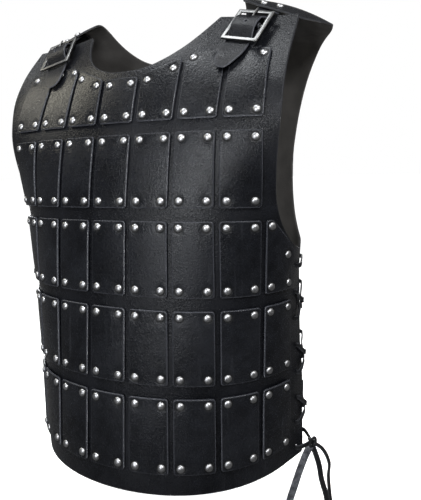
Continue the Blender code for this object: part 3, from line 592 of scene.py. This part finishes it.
print("panels")
panelCut = {"low": -0.0028, "thickness": 0.0028, "rim": 0.0009, "step": 0.0065, "corner": 0.006}
hem = -0.033
sides = {"front": 0.2715, "back": 0.205}
eyelets = {"top": 0.217, "pitch": 0.034, "count": 8, "inset": 0.0145, "radius": 0.003}
eyeletHeights = [eyelets["top"] - eyelets["pitch"] * index for index in range(eyelets["count"])]
frontNeck = (
    (0.0, 0.4645), (0.022, 0.466), (0.043, 0.4735), (0.066, 0.49), (0.083, 0.5125),
    (0.1035, 0.551),
)
frontArmhole = (
    (0.2065, 0.5465), (0.206, 0.495), (0.203, 0.445), (0.2005, 0.39), (0.1985, 0.34),
    (0.2015, 0.301), (0.212, 0.273), (0.229, 0.253), (0.245, 0.243), (0.2715, 0.236),
)
backNeck = (
    (0.0, 0.497), (0.04, 0.5), (0.074, 0.512), (0.099, 0.535), (0.113, 0.565),
    (0.12, 0.605),
)
backFrontEdge = ((0.146, 0.62), (0.173, 0.625), (0.205, 0.624), (0.223, 0.609))
backArmhole = (
    (0.235, 0.59), (0.229, 0.555), (0.213, 0.505), (0.193, 0.45), (0.177, 0.39),
    (0.17, 0.33), (0.174, 0.28), (0.186, 0.25), (0.205, 0.236),
)
strapRivets = ((0.151, 0.61), (0.172, 0.61))


def addPanel(side, half, rivets):
    half = [tuple(point) for point in half] + [(sides[side], hem), (0.0, hem)]
    outline = roundedCorners(half + [(-x, y) for x, y in reversed(half[1:-1])], panelCut["corner"])
    reach = sides[side] - eyelets["inset"]
    holes = [(sign * reach, height, eyelets["radius"]) for sign in (-1.0, 1.0) for height in eyeletHeights]
    made = leatherPiece(side + "_leather", outline, panelCut, lambda flat: worn(side, flat),
                        (panelLeather, fleshSide), (side + "_panel",),
                        holes=holes, rivets=rivets)


plate = {
    "low": 0.0008, "thickness": 0.003, "rim": 0.0011, "step": 0.0052, "corner": 0.004,
    "width": 0.047, "margin": 0.0078, "columnPitch": 0.053, "rowPitch": 0.1006,
    "rivetAcross": 0.0156, "rivetRise": 0.0705, "tilt": 0.007, "pillow": 0.0006,
    "dimple": 0.0009, "dimpleFloor": 0.004, "dimpleSlope": 0.0017,  # depth, radius of the floor, slope
    "rings": (-0.0068, -0.0045, -0.0022, 0.0, 0.0022, 0.0045, 0.0068),  # grid lines round a rivet
}
# Each row and the highest column each side of the middle
plateRows = ((1, 3), (2, 3), (3, 4), (4, 4), (5, 4))
# Row 1 follows the neckline: inner top, outer top, cut of the inner corner, inner rivet, outer rivet
rowOneTops = {
    0: (0.453, 0.453, 0.0, 0.444, 0.444),
    1: (0.4545, 0.475, 0.0, 0.4466, 0.4595),
    2: (0.484, 0.484, 0.014, 0.4735, 0.475),
    3: (0.485, 0.485, 0.0, 0.4755, 0.4755),
}
armholeCut = {
    "from": 0.197, "to": 0.239, "innerRivet": (0.1955, 0.2725), "outerRivet": (0.2215, 0.2365),
}


def plateShape(row, column):
    middle, half = column * plate["columnPitch"], plate["width"] / 2.0
    inner, outer = middle - half, middle + half
    low = (5 - row) * plate["rowPitch"] - plate["margin"]
    high = low + plate["rivetRise"] + 2.0 * plate["margin"]
    outline = [(inner, low), (outer, low), (outer, high), (inner, high)]
    nearSide, farSide = middle - plate["rivetAcross"], middle + plate["rivetAcross"]
    first, last = low + plate["margin"], high - plate["margin"]
    rivets = [(nearSide, first), (farSide, first), (nearSide, last), (farSide, last)]
    if row == 1:
        innerTop, outerTop, cut, innerRivet, outerRivet = rowOneTops[column]
        outline[2:] = [(outer, outerTop), (inner, innerTop)]
        if cut:
            outline[3:] = [(inner + cut, innerTop), (inner, innerTop - cut)]
        rivets[2:] = [(nearSide, innerRivet), (farSide, outerRivet)]
    if row == 3 and column == 4:
        outline[2:] = [(outer, armholeCut["to"]), (armholeCut["from"], high), (inner, high)]
        rivets[2:] = [armholeCut["innerRivet"], armholeCut["outerRivet"]]
    return outline, rivets


rivetHeads = []  # side, across, along, out
dice = np.random.default_rng(7)


def addPlate(row, column):
    outline, rivets = plateShape(row, abs(column))
    if column < 0:
        outline = [(-x, y) for x, y in outline[1::-1] + outline[:1:-1]]
        rivets = [(-x, y) for x, y in rivets]
    corners = np.array(outline)
    low, high = corners.min(axis=0), corners.max(axis=0)
    middle, half = (low + high) / 2.0, (high - low) / 2.0
    outline = roundedCorners([tuple(point) for point in corners - middle], plate["corner"])
    local = [tuple(np.round(np.array(place) - middle, 6)) for place in rivets]
    tilt = dice.uniform(-plate["tilt"], plate["tilt"], 2)
    pillow = plate["pillow"] * dice.uniform(0.5, 1.2)

    def lift(across, along):
        du, dv = (across - middle[0]) / half[0], (along - middle[1]) / half[1]
        bulge = pillow * np.clip(1.0 - du**2, 0.0, None) * np.clip(1.0 - dv**2, 0.0, None)
        return bulge + tilt[0] * (across - middle[0]) + 0.5 * tilt[1] * (along - middle[1])

    def place(flat):
        across, along, out = flat.T
        beyond = np.clip(pointGaps(flat, rivets) - plate["dimpleFloor"], 0.0, None)
        pressed = plate["dimple"] * np.exp(-((beyond / plate["dimpleSlope"]) ** 2))
        return worn("front", np.stack([across, along, out + lift(across, along) - pressed], axis=1))

    lines = [[mark + ring for mark in sorted({point[axis] for point in local}) for ring in plate["rings"]]
             for axis in (0, 1)]
    name = "plate_r%d_c%d" % (row, column + dict(plateRows)[row] + 1)
    leatherPiece("leather_" + name, outline, plate, place, (plateLeather,), (name,),
                 rivets=local, lines=lines, middle=middle, shift=float(dice.uniform(0.0, 40.0)))
    top = plate["low"] + plate["thickness"]
    for across, along in rivets:
        # The head stands most of the way down in its dimple
        out = top + float(lift(across, along)) - 0.7 * plate["dimple"]
        rivetHeads.append(("front", across, along, out))


print("plates")
for row, columns in plateRows:
    for column in range(-columns, columns + 1):
        addPlate(row, column)

frontHalf = [*smoothThrough(frontNeck, 30), *smoothThrough(frontArmhole, 64)]
addPanel("front", frontHalf, [(across, along) for _, across, along, _ in rivetHeads])
backHalf = [*smoothThrough(backNeck, 26), *backFrontEdge, *smoothThrough(backArmhole, 56)]
backRivets = [(sign * across, along) for sign in (-1.0, 1.0) for across, along in strapRivets]
addPanel("back", backHalf, backRivets)
rivetHeads += [("back", across, along, 0.0) for across, along in backRivets]

print("rivets")
rivetShape = {"radius": 0.0047, "height": 0.0027, "segments": 14, "rings": 8, "sunk": 0.0004}


def makeDome():
    # The upper half of a flattened ball, with a short skirt that sinks into the leather
    radius, height = rivetShape["radius"], rivetShape["height"]
    work = bmesh.new()
    bmesh.ops.create_uvsphere(work, u_segments=rivetShape["segments"], v_segments=rivetShape["rings"],
                              radius=1.0)
    bmesh.ops.scale(work, verts=work.verts[:], vec=(radius, radius, height))
    everything = work.verts[:] + work.edges[:] + work.faces[:]
    bmesh.ops.bisect_plane(work, geom=everything, dist=1e-6, plane_co=(0.0, 0.0, 0.0),
                           plane_no=(0.0, 0.0, 1.0), clear_inner=True)
    rim = [edge for edge in work.edges if edge.is_boundary]
    liftAdded(work, bmesh.ops.extrude_edge_only(work, edges=rim), -rivetShape["sunk"])
    bmesh.ops.holes_fill(work, edges=[edge for edge in work.edges if edge.is_boundary], sides=0)
    bmesh.ops.recalc_face_normals(work, faces=work.faces[:])
    return meshFrom(work, "dome")


def addRivets(name, side):
    # Domes set in the flat pattern, then bent to the worn form with the leather they hold
    dome = makeDome()
    here = Vector((0.0, 0.0, 0.0))
    work = bmesh.new()
    for _, across, along, out in (head for head in rivetHeads if head[0] == side):
        there = Vector((across, along, out))
        dome.transform(Matrix.Translation(there - here))
        here = there
        work.from_mesh(dome)
    bpy.data.meshes.remove(dome)
    mesh = meshFrom(work, name)
    mesh.vertices.foreach_set("co", worn(side, readOut(mesh.vertices, "co")).ravel())
    mesh.update()
    finishPiece(name, mesh, (rivetNickel,))


addRivets("rivet_heads", "front")
addRivets("strap_rivet_heads", "back")

print("straps and buckles")
buckle = {
    "centre": Vector((0.1461, -0.063, -0.0407)), "width": 0.048, "length": 0.055, "bar": 0.005,
    "thickness": 0.003, "rounding": 0.0009, "centreBar": 0.00175, "barDrop": 0.0002, "prong": 0.0012,
}
buckleAcross = Vector((0.973, -0.065, -0.223)).normalized()
buckleOut = Vector((0.089, -0.783, 0.616)).normalized()
buckleAlong = buckleOut.cross(buckleAcross).normalized()
strapCut = {"low": -0.0011, "thickness": 0.0022, "rim": 0.0007, "step": 0.0036, "corner": 0.002}
chapeCut = {"low": -0.0007, "thickness": 0.0014, "rim": 0.0004, "step": 0.0036, "corner": 0.002}
strapHalf = 0.016  # half the width of the straps and the chapes
seamGap = 0.0003  # between two layers
bendRoom = {"overPlates": 0.00135, "underBack": 0.0009, "chape": 0.00045}  # more, where a strip bends
plateRivetHeight = 0.0021  # above the plate
strapHoles = {"across": 0.001, "radius": 0.0016, "below": 0.0015, "above": 0.006}
strapSlot = {"low": -0.0016, "high": 0.0028, "aboveBar": 0.0065}


def bucklePoint(across, along, out):
    return buckle["centre"] + buckleAcross * across + buckleAlong * along + buckleOut * out


def buckleStation(across, along, out):
    return (*bucklePoint(across, along, out), *buckleAcross)


def panelStations(side, places, out):
    stations = []
    for across, along in places:
        here, beside = worn(side, [(across, along, out), (across + 0.001, along, out)])
        stations.append((*here, *((beside - here) / np.linalg.norm(beside - here))))
    return stations


def roundBar(radius, degrees):
    # An arc round the centre bar, in the buckle's own directions
    angles = [math.radians(turn) for turn in degrees]
    return [(0.0, radius * math.cos(angle), radius * math.sin(angle)) for angle in angles]


def ribbonPlacer(stations):
    # Bends a flat strip round the smooth curve through the stations, each a point and a direction across
    stations = np.array(stations)
    line = smoothThrough(stations[:, :3], 30 * len(stations))
    marks, lengths = lengthsAlong(stations[:, :3]), lengthsAlong(line)
    marks *= lengths[-1] / marks[-1]
    ahead = np.gradient(line, lengths, axis=0)
    normal = unit(np.cross(readAt(lengths, marks, stations[:, 3:]), ahead))
    side = unit(np.cross(ahead, normal))

    def placeAll(flat):
        def read(values):
            return readAt(flat[:, 1], lengths, values)
        return read(line) + read(side) * flat[:, :1] + read(normal) * flat[:, 2:]

    return placeAll, marks


def mirrored(place, sign):
    # The left side as it is, the right side turned over
    return lambda flat: np.asarray(place(flat)) * (sign, 1.0, 1.0)


strapTips = {
    "left": {
        "outline": ((-0.016, 0.012), (-0.0145, 0.005), (-0.011, 0.001), (-0.006, 0.0),
                    (-0.0015, 0.0008), (0.004, 0.0055), (0.01, 0.013), (0.014, 0.021), (0.016, 0.03)),
        "place": ((0.1345, 0.452), (0.135, 0.47)),
    },
    # The right tip is rounder and hangs a little nearer the neck
    "right": {
        "outline": ((-0.016, 0.016), (-0.0142, 0.0085), (-0.01, 0.0032), (-0.0045, 0.0006),
                    (0.0, 0.0), (0.005, 0.0016), (0.0105, 0.0062), (0.0142, 0.0125), (0.016, 0.02)),
        "place": ((0.126, 0.452), (0.128, 0.47)),
    },
}
# Across, along and out from the buckle's middle, up from below it. The fifth crosses the centre bar.
strapInBuckle = (
    (-0.0022, -0.0272, -0.0038), (-0.0021, -0.0212, -0.0033), (-0.0018, -0.0155, 0.001),
    (-0.0015, -0.0095, 0.0052), (-0.001, 0.0, 0.0066), (-0.0005, 0.0095, 0.0052),
    (0.0004, 0.0155, 0.001), (0.0012, 0.0212, -0.0035), (0.0018, 0.0272, -0.0045),
    (0.003, 0.036, -0.0066),
)
strapUnderBack = (
    (0.16, 0.625), (0.1612, 0.615), (0.1622, 0.605), (0.163, 0.595), (0.1636, 0.585),
    (0.164, 0.575),
)


def addStrap(sign, where):
    tip = strapTips[where]
    half = strapCut["thickness"] / 2.0
    overPlates = plate["low"] + plate["thickness"] + plateRivetHeight + seamGap + half
    overPlates += bendRoom["overPlates"]
    underBack = panelCut["low"] - seamGap - half - bendRoom["underBack"]
    stations = panelStations("front", tip["place"], overPlates)
    stations += [buckleStation(*place) for place in strapInBuckle]
    place, marks = ribbonPlacer(stations + panelStations("back", strapUnderBack, underBack))
    outline = [tuple(point) for point in smoothThrough(tip["outline"], 26)]
    outline = roundedCorners(outline + [(strapHalf, marks[-1]), (-strapHalf, marks[-1])], strapCut["corner"])
    # The prong stands in the slot, between two small round holes
    holes = [(strapHoles["across"], float(along), strapHoles["radius"])
             for along in (marks[6] - strapHoles["below"], marks[10] + strapHoles["above"])]
    slot = (strapSlot["low"], strapSlot["high"], float(marks[6]) + strapSlot["aboveBar"], float(marks[9]))
    leatherPiece("shoulder_strap_" + where, outline, strapCut, mirrored(place, sign), (strapLeather,),
                 ("strap_" + where,), holes=holes, slots=(slot,), shift=12.0 + sign)


def addChapes():
    # From the front tab up behind the buckle, round its centre bar and back down
    turn = buckle["centreBar"] + 2.0 * seamGap + chapeCut["thickness"] / 2.0
    low = chapeCut["thickness"] / 2.0 + seamGap + bendRoom["chape"]
    high = low + chapeCut["thickness"] + seamGap
    anchors = ((0.1435, 0.4895), (0.1452, 0.4975))
    inBuckle = [(0.0, -0.01, -0.0078), *roundBar(turn, range(-60, 211, 30)), (0.0, -0.01, -0.0045)]
    stations = panelStations("front", anchors, low) + [buckleStation(*place) for place in inBuckle]
    place, marks = ribbonPlacer(stations + panelStations("front", anchors[::-1], high))
    length = marks[-1]
    outline = roundedCorners([(-strapHalf, 0.0), (strapHalf, 0.0), (strapHalf, length), (-strapHalf, length)],
                             chapeCut["corner"])
    # Marks 3 to 12 lie round the centre bar, where the prong stands in the slot
    slot = (-0.0025, 0.0025, float(marks[2]) + 0.002, float(marks[13]) - 0.002)
    wrap = [float(marks[3] + (marks[12] - marks[3]) * index / 18.0) for index in range(19)]
    for sign, where in bothSides:
        leatherPiece("buckle_chape_" + where, outline, chapeCut, mirrored(place, sign), (strapLeather,),
                     ("chape_" + where,), slots=(slot,), lines=((), wrap), shift=20.0 + sign)


def addBuckles():
    # A frame of four bars with rounded edges, and a round centre bar
    turn = Matrix((buckleAcross, buckleAlong, buckleOut)).transposed().to_4x4()
    reach = buckle["width"] / 2.0 - buckle["bar"] / 2.0
    across = Matrix.Translation((0.0, 0.0, -buckle["barDrop"])) @ turnBy(90.0, "Y")
    for sign, where in bothSides:
        work = bmesh.new()
        verts = bmesh.ops.create_grid(work, x_segments=1, y_segments=1, size=0.5)["verts"]
        bmesh.ops.scale(work, verts=verts, vec=(buckle["width"], buckle["length"], 1.0))
        inner = next(iter(work.faces))
        bmesh.ops.inset_individual(work, faces=[inner], thickness=buckle["bar"], use_even_offset=True)
        bmesh.ops.delete(work, geom=[inner], context="FACES_ONLY")
        liftAdded(work, bmesh.ops.extrude_face_region(work, geom=work.faces[:]), buckle["thickness"])
        bmesh.ops.translate(work, verts=work.verts[:], vec=(0.0, 0.0, -buckle["thickness"] / 2.0))
        bmesh.ops.recalc_face_normals(work, faces=work.faces[:])
        rims = [edge for edge in work.edges if edge.calc_face_angle(0.0) > 0.5]
        bmesh.ops.bevel(work, geom=rims, offset=buckle["rounding"], segments=3, profile=0.5,
                        affect="EDGES", material=-1)
        bmesh.ops.create_cone(work, cap_ends=True, segments=20, radius1=buckle["centreBar"],
                              radius2=buckle["centreBar"], depth=2.0 * reach, matrix=across)
        bmesh.ops.transform(work, matrix=Matrix.Translation(buckle["centre"]) @ turn, verts=work.verts[:])
        bmesh.ops.scale(work, verts=work.verts[:], vec=(sign, 1.0, 1.0))
        name = "buckle_frame_" + where
        mesh = meshFrom(work, name)
        finishPiece(name, mesh, (buckleNickel,), ("buckle_" + where,))
        mesh.set_sharp_from_angle(angle=math.radians(50.0))


def tubePiece(name, points, radius, looks, nodes, radii=None, cyclic=False):
    # A round tube along the points, as a mesh
    line = bpy.data.curves.new(name, "CURVE")
    line.dimensions = "3D"
    line.bevel_depth = radius
    line.bevel_resolution = 3
    line.use_fill_caps = True
    spline = line.splines.new("POLY")
    spline.points.add(len(points) - 1)
    spline.use_cyclic_u = cyclic
    for index, place in enumerate(points):
        spline.points[index].co = (*place, 1.0)
        spline.points[index].radius = 1.0 if radii is None else radii[index]
    guide = addObject(name + "_line", line)
    bpy.context.view_layer.update()
    mesh = bpy.data.meshes.new_from_object(guide.evaluated_get(bpy.context.evaluated_depsgraph_get()))
    bpy.data.objects.remove(guide, do_unlink=True)
    bpy.data.curves.remove(line)
    mesh.name = name
    finishPiece(name, mesh, looks, nodes)


def addProngs():
    # Round the centre bar, then along to the top bar, thinner towards the tip
    loop = buckle["centreBar"] + seamGap + buckle["prong"]
    way = ((0.005, 0.0031), (0.012, 0.0029), (0.02, 0.0031), (0.0265, 0.0031), (0.0298, 0.0026))
    controls = roundBar(loop, range(270, 89, -36)) + [(0.0008, along, out) for along, out in way]
    points = smoothThrough([bucklePoint(*place) for place in controls], 48)
    radii = [1.0 - 0.35 * max(0.0, (index - 38) / 9.0) ** 2 for index in range(48)]
    for sign, where in bothSides:
        tubePiece("buckle_prong_" + where, points * (sign, 1.0, 1.0), buckle["prong"], (buckleNickel,),
                  ("prong_" + where,), radii)


for sign, where in bothSides:
    addStrap(sign, where)
addChapes()
addBuckles()
addProngs()

print("side laces")
lace = {
    "radius": 0.0017, "width": 0.0056, "clearance": 0.0011, "edgeShare": 0.32, "strandGap": 0.0006,
    "knot": (0.012, 0.01, 0.015), "knotRise": 0.014, "knotOffset": (0.0105, 0.007, -0.003),
    "knotEntry": (-0.6, 0.8, 0.1), "entryDepth": 0.002, "endDepth": 0.001,
    "corner": 0.0008, "slant": 0.0012,
}
laceCut = {"low": -0.0009, "thickness": 0.0018, "rim": 0.0005, "step": 0.0024}


def knotPlace():
    place = worn("front", [(sides["front"], hem + lace["knotRise"], 0.0)])[0]
    return Vector(place) + Vector(lace["knotOffset"])


def insideKnot(direction, depth):
    # A point this deep under the knot's surface, in this direction from its middle
    direction = Vector(direction).normalized()
    reach = 1.0 / math.sqrt(sum((2.0 * part / size) ** 2 for part, size in zip(direction, lace["knot"])))
    return knotPlace() + direction * (reach - depth)


def laceRoute():
    # From the knot up one zigzag, along the top bar and down the other, inside and outside by turns
    front, back = sides["front"] - eyelets["inset"], sides["back"] - eyelets["inset"]
    off = lace["radius"] + lace["clearance"]
    inside = panelCut["low"] - off

    def edge(inFront, along, level):
        side = "front" if inFront else "back"
        return worn(side, [(sides[side], along, level)])[0]

    def crossing(index, inFront, lift):
        # Over the two edges, from one eyelet to the next one down on the other panel
        outwards = 1.0 if index % 2 else -1.0
        level = off if index % 2 else inside
        drop = eyeletHeights[index] - eyeletHeights[index + 1]
        start = edge(inFront, eyeletHeights[index] - drop * lace["edgeShare"], level)
        end = edge(not inFront, eyeletHeights[index + 1] + drop * lace["edgeShare"], level)
        lifted = edge(inFront, eyeletHeights[index] - drop * lace["edgeShare"], level + outwards * lift)
        return [start, (start + end) / 2.0 + (lifted - start), end]

    def strand(inFront, innerLift, outerLift):
        points = []
        for index, height in enumerate(eyeletHeights):
            levels = (inside, off) if index % 2 else (off, inside)
            side, across = ("front", front) if inFront else ("back", back)
            points += list(worn(side, [(across, height, level) for level in levels]))
            if index < len(eyeletHeights) - 1:
                points += crossing(index, inFront, outerLift if index % 2 else innerLift)
                inFront = not inFront
        return points

    spread = 2.0 * lace["radius"] + lace["strandGap"]
    first, second = strand(True, spread, 0.0), strand(False, 0.0, spread)
    bar = [edge(True, eyeletHeights[0], off), edge(False, eyeletHeights[0], off)]
    x, y, z = lace["knotEntry"]
    ends = [insideKnot((x, y, z), lace["entryDepth"]), insideKnot((x, -y, z), lace["entryDepth"])]
    return ends[:1] + first[::-1] + bar + second + ends[1:]


def addStrip(name, stations, width, sign, look, nodes, shift):
    # A flat strip of lace along the stations, with a slanted tip. It returns the piece and its length.
    place, marks = ribbonPlacer(stations)
    half, length = width / 2.0, float(marks[-1])
    outline = [(-half, 0.0), (half, 0.0), (half, length - lace["slant"]), (-half, length)]
    outline = roundedCorners(outline, lace["corner"])
    made = leatherPiece(name, outline, laceCut, mirrored(place, sign), (look,), nodes,
                        shift=shift)
    return made, length


def addLaces():
    # The lace lies flat on the panels and stands on edge in the eyelets
    controls = laceRoute()
    points = smoothThrough(controls, 6 * len(controls))
    stations = [(*point, 0.0, 0.0, 1.0) for point in points]
    for sign, where in bothSides:
        addStrip("side_lace_" + where, stations, lace["width"], sign, laceLeather, ("lace_" + where,), 3.0)


def addKnots():
    # The lace tied over itself
    turns = np.linspace(0.0, math.tau, 97)[:-1]
    coil = np.stack([np.sin(turns) + 2.0 * np.sin(2.0 * turns), -np.sin(3.0 * turns),
                     np.cos(turns) - 2.0 * np.cos(2.0 * turns)], axis=1)
    room = np.array(lace["knot"]) / 2.0 - lace["radius"] * 0.8
    coil = coil / np.abs(coil).max(axis=0) * room
    for sign, where in bothSides:
        points = (coil + np.array(knotPlace())) * (sign, 1.0, 1.0)
        tubePiece("lace_knot_" + where, points, lace["radius"] * 1.15, (knotLeather,),
                  ("knot_" + where,), cyclic=True)


# The hanging ends: the direction in which each leaves its knot, its way as offsets from the
# knot's middle, and the directions across the strip at its top and tip
hangingEnds = {
    "left_a": {
        "width": 0.0094, "look": endLeather, "leaves": (-0.36, -0.6, -0.72),
        "way": ((-0.0062, -0.0095, -0.013), (-0.013, -0.015, -0.032), (-0.02, -0.017, -0.054),
                (-0.027, -0.018, -0.076), (-0.033, -0.018, -0.096)),
        "across": ((0.8, 0.5, -0.2), (0.93, 0.36, -0.1)),
    },
    "left_b": {
        "width": 0.0072, "look": laceLeather, "leaves": (0.12, 0.02, -0.99),
        "way": ((0.0045, 0.0008, -0.017), (0.008, 0.002, -0.03), (0.011, 0.003, -0.05),
                (0.017, 0.003, -0.072), (0.019, 0.003, -0.098)),
        "across": ((0.9, 0.42, 0.1), (0.75, 0.66, 0.1)),
    },
    "left_c": {
        "width": 0.0062, "look": laceLeather, "leaves": (0.8, 0.3, -0.52),
        "way": ((0.013, 0.0044, -0.0095), (0.02, 0.008, -0.028), (0.0185, 0.009, -0.046),
                (0.02, 0.009, -0.07), (0.0225, 0.009, -0.095)),
        "across": ((0.2, 0.97, 0.0), (0.45, 0.89, 0.0)),
    },
    "right": {
        "width": 0.008, "look": laceLeather, "leaves": (-0.1, -0.1, -0.99),
        "way": ((-0.002, -0.003, -0.025), (-0.001, -0.003, -0.042), (0.001, -0.003, -0.059)),
        "across": ((0.7, -0.71, 0.0), (0.92, -0.4, 0.0)),
    },
}


def addHangingEnd(where, end):
    sign = -1.0 if where == "right" else 1.0
    start = insideKnot(end["leaves"], lace["endDepth"])
    line = smoothThrough([start, *(np.array(knotPlace()) + np.array(end["way"]))], 16)
    first, last = (np.array(direction) for direction in end["across"])
    stations = [(*point, *(first + (last - first) * index / 15.0)) for index, point in enumerate(line)]
    made, length = addStrip("hanging_lace_" + where, stations, end["width"], sign, end["look"],
                            ("lace_end_" + where,), float(len(where)))
    path = line * (sign, 1.0, 1.0)


addLaces()
addKnots()
for where, end in hangingEnds.items():
    addHangingEnd(where, end)

print("studio")
studio = {
    "target": (0.0, -0.1, -0.25),  # the soft boxes point at it
    "floor": {"height": -0.7, "size": 40.0, "colour": (0.86, 0.86, 0.86, 1.0), "roughness": 0.9},
    "world": {"seen": 1.0, "glow": 0.22},
    "sky": {"strength": 3.7, "angle": 110.0, "tilt": (6.0, -4.0)},  # a wide soft ceiling light, in degrees
    "spread": 60.0,  # degrees, which keeps the soft boxes off the floor
    # bearing from the front, height in degrees, distance, size, power and colour of each soft box
    "boxes": (
        ("window", -3.0, 18.0, 2.0, 0.55, 4.0, (0.93, 0.96, 1.0)),
        ("low", -2.0, -3.0, 2.0, 0.6, 2.4, (0.93, 0.96, 1.0)),
        ("side", -79.0, 34.0, 1.7, 0.6, 0.95, (1.0, 0.95, 0.8)),
        ("top", -60.0, 70.0, 2.0, 1.0, 6.0, (0.94, 0.97, 1.0)),
        ("key", 48.0, 38.0, 2.0, 0.5, 8.5, (1.0, 1.0, 1.0)),
        ("flank", 96.0, 42.0, 2.2, 1.6, 2.4, (1.0, 1.0, 1.0)),
        ("back", -168.0, 10.0, 2.2, 1.0, 7.0, (1.0, 1.0, 1.0)),
        ("back_side", -140.0, 6.0, 2.2, 1.6, 7.0, (0.96, 0.98, 1.0)),
    ),
}


def addFloor(floor):
    work = bmesh.new()
    bmesh.ops.create_grid(work, x_segments=1, y_segments=1, size=floor["size"],
                          matrix=Matrix.Translation((0.0, 0.0, floor["height"])))
    mesh = meshFrom(work, "floor")
    paint, _, _ = newMaterial("pale_floor", {"Base Color": floor["colour"], "Roughness": floor["roughness"]})
    mesh.materials.append(paint)
    ground = addObject("floor", mesh)
    ground.visible_glossy = False  # the white floor would grey the black leather


def addWorld(seen, glow):
    # White as the camera sees it, and much dimmer as a light
    world = bpy.data.worlds.new("studio")
    world.use_nodes = True
    bpy.context.scene.world = world
    cameraRay = Wire(world.node_tree).node("ShaderNodeLightPath")
    background = world.node_tree.nodes["Background"]
    background.inputs["Color"].default_value = (1.0, 1.0, 1.0, 1.0)
    feed(background, "Strength", cameraRay * (seen - glow) + glow)


def addSoftBox(name, bearing, height, distance, size, power, colour):
    lamp = bpy.data.lights.new(name, "AREA")
    lamp.shape = "DISK"
    lamp.size = size
    lamp.spread = math.radians(studio["spread"])
    lamp.energy = power
    lamp.color = colour
    made = addObject(name, lamp)
    side, rise = math.radians(bearing), math.radians(height)
    towards = Vector((math.sin(side) * math.cos(rise), -math.cos(side) * math.cos(rise), math.sin(rise)))
    place = Matrix.Translation(Vector(studio["target"]) + towards * distance)
    made.matrix_world = place @ towards.to_track_quat("Z", "Y").to_matrix().to_4x4()


def addSky(sky):
    sun = bpy.data.lights.new("sky", "SUN")
    sun.energy = sky["strength"]
    sun.angle = math.radians(sky["angle"])
    above = addObject("sky", sun)
    above.matrix_world = turnBy(sky["tilt"][0], "X") @ turnBy(sky["tilt"][1], "Y")
    above.visible_glossy = False  # the metal mirrors the soft boxes alone


bpy.context.scene.view_settings.view_transform = "Standard"
addFloor(studio["floor"])
addWorld(**studio["world"])
for box in studio["boxes"]:
    addSoftBox(*box)
addSky(studio["sky"])

for spare in flatPieces.values():
    bpy.data.meshes.remove(spare)
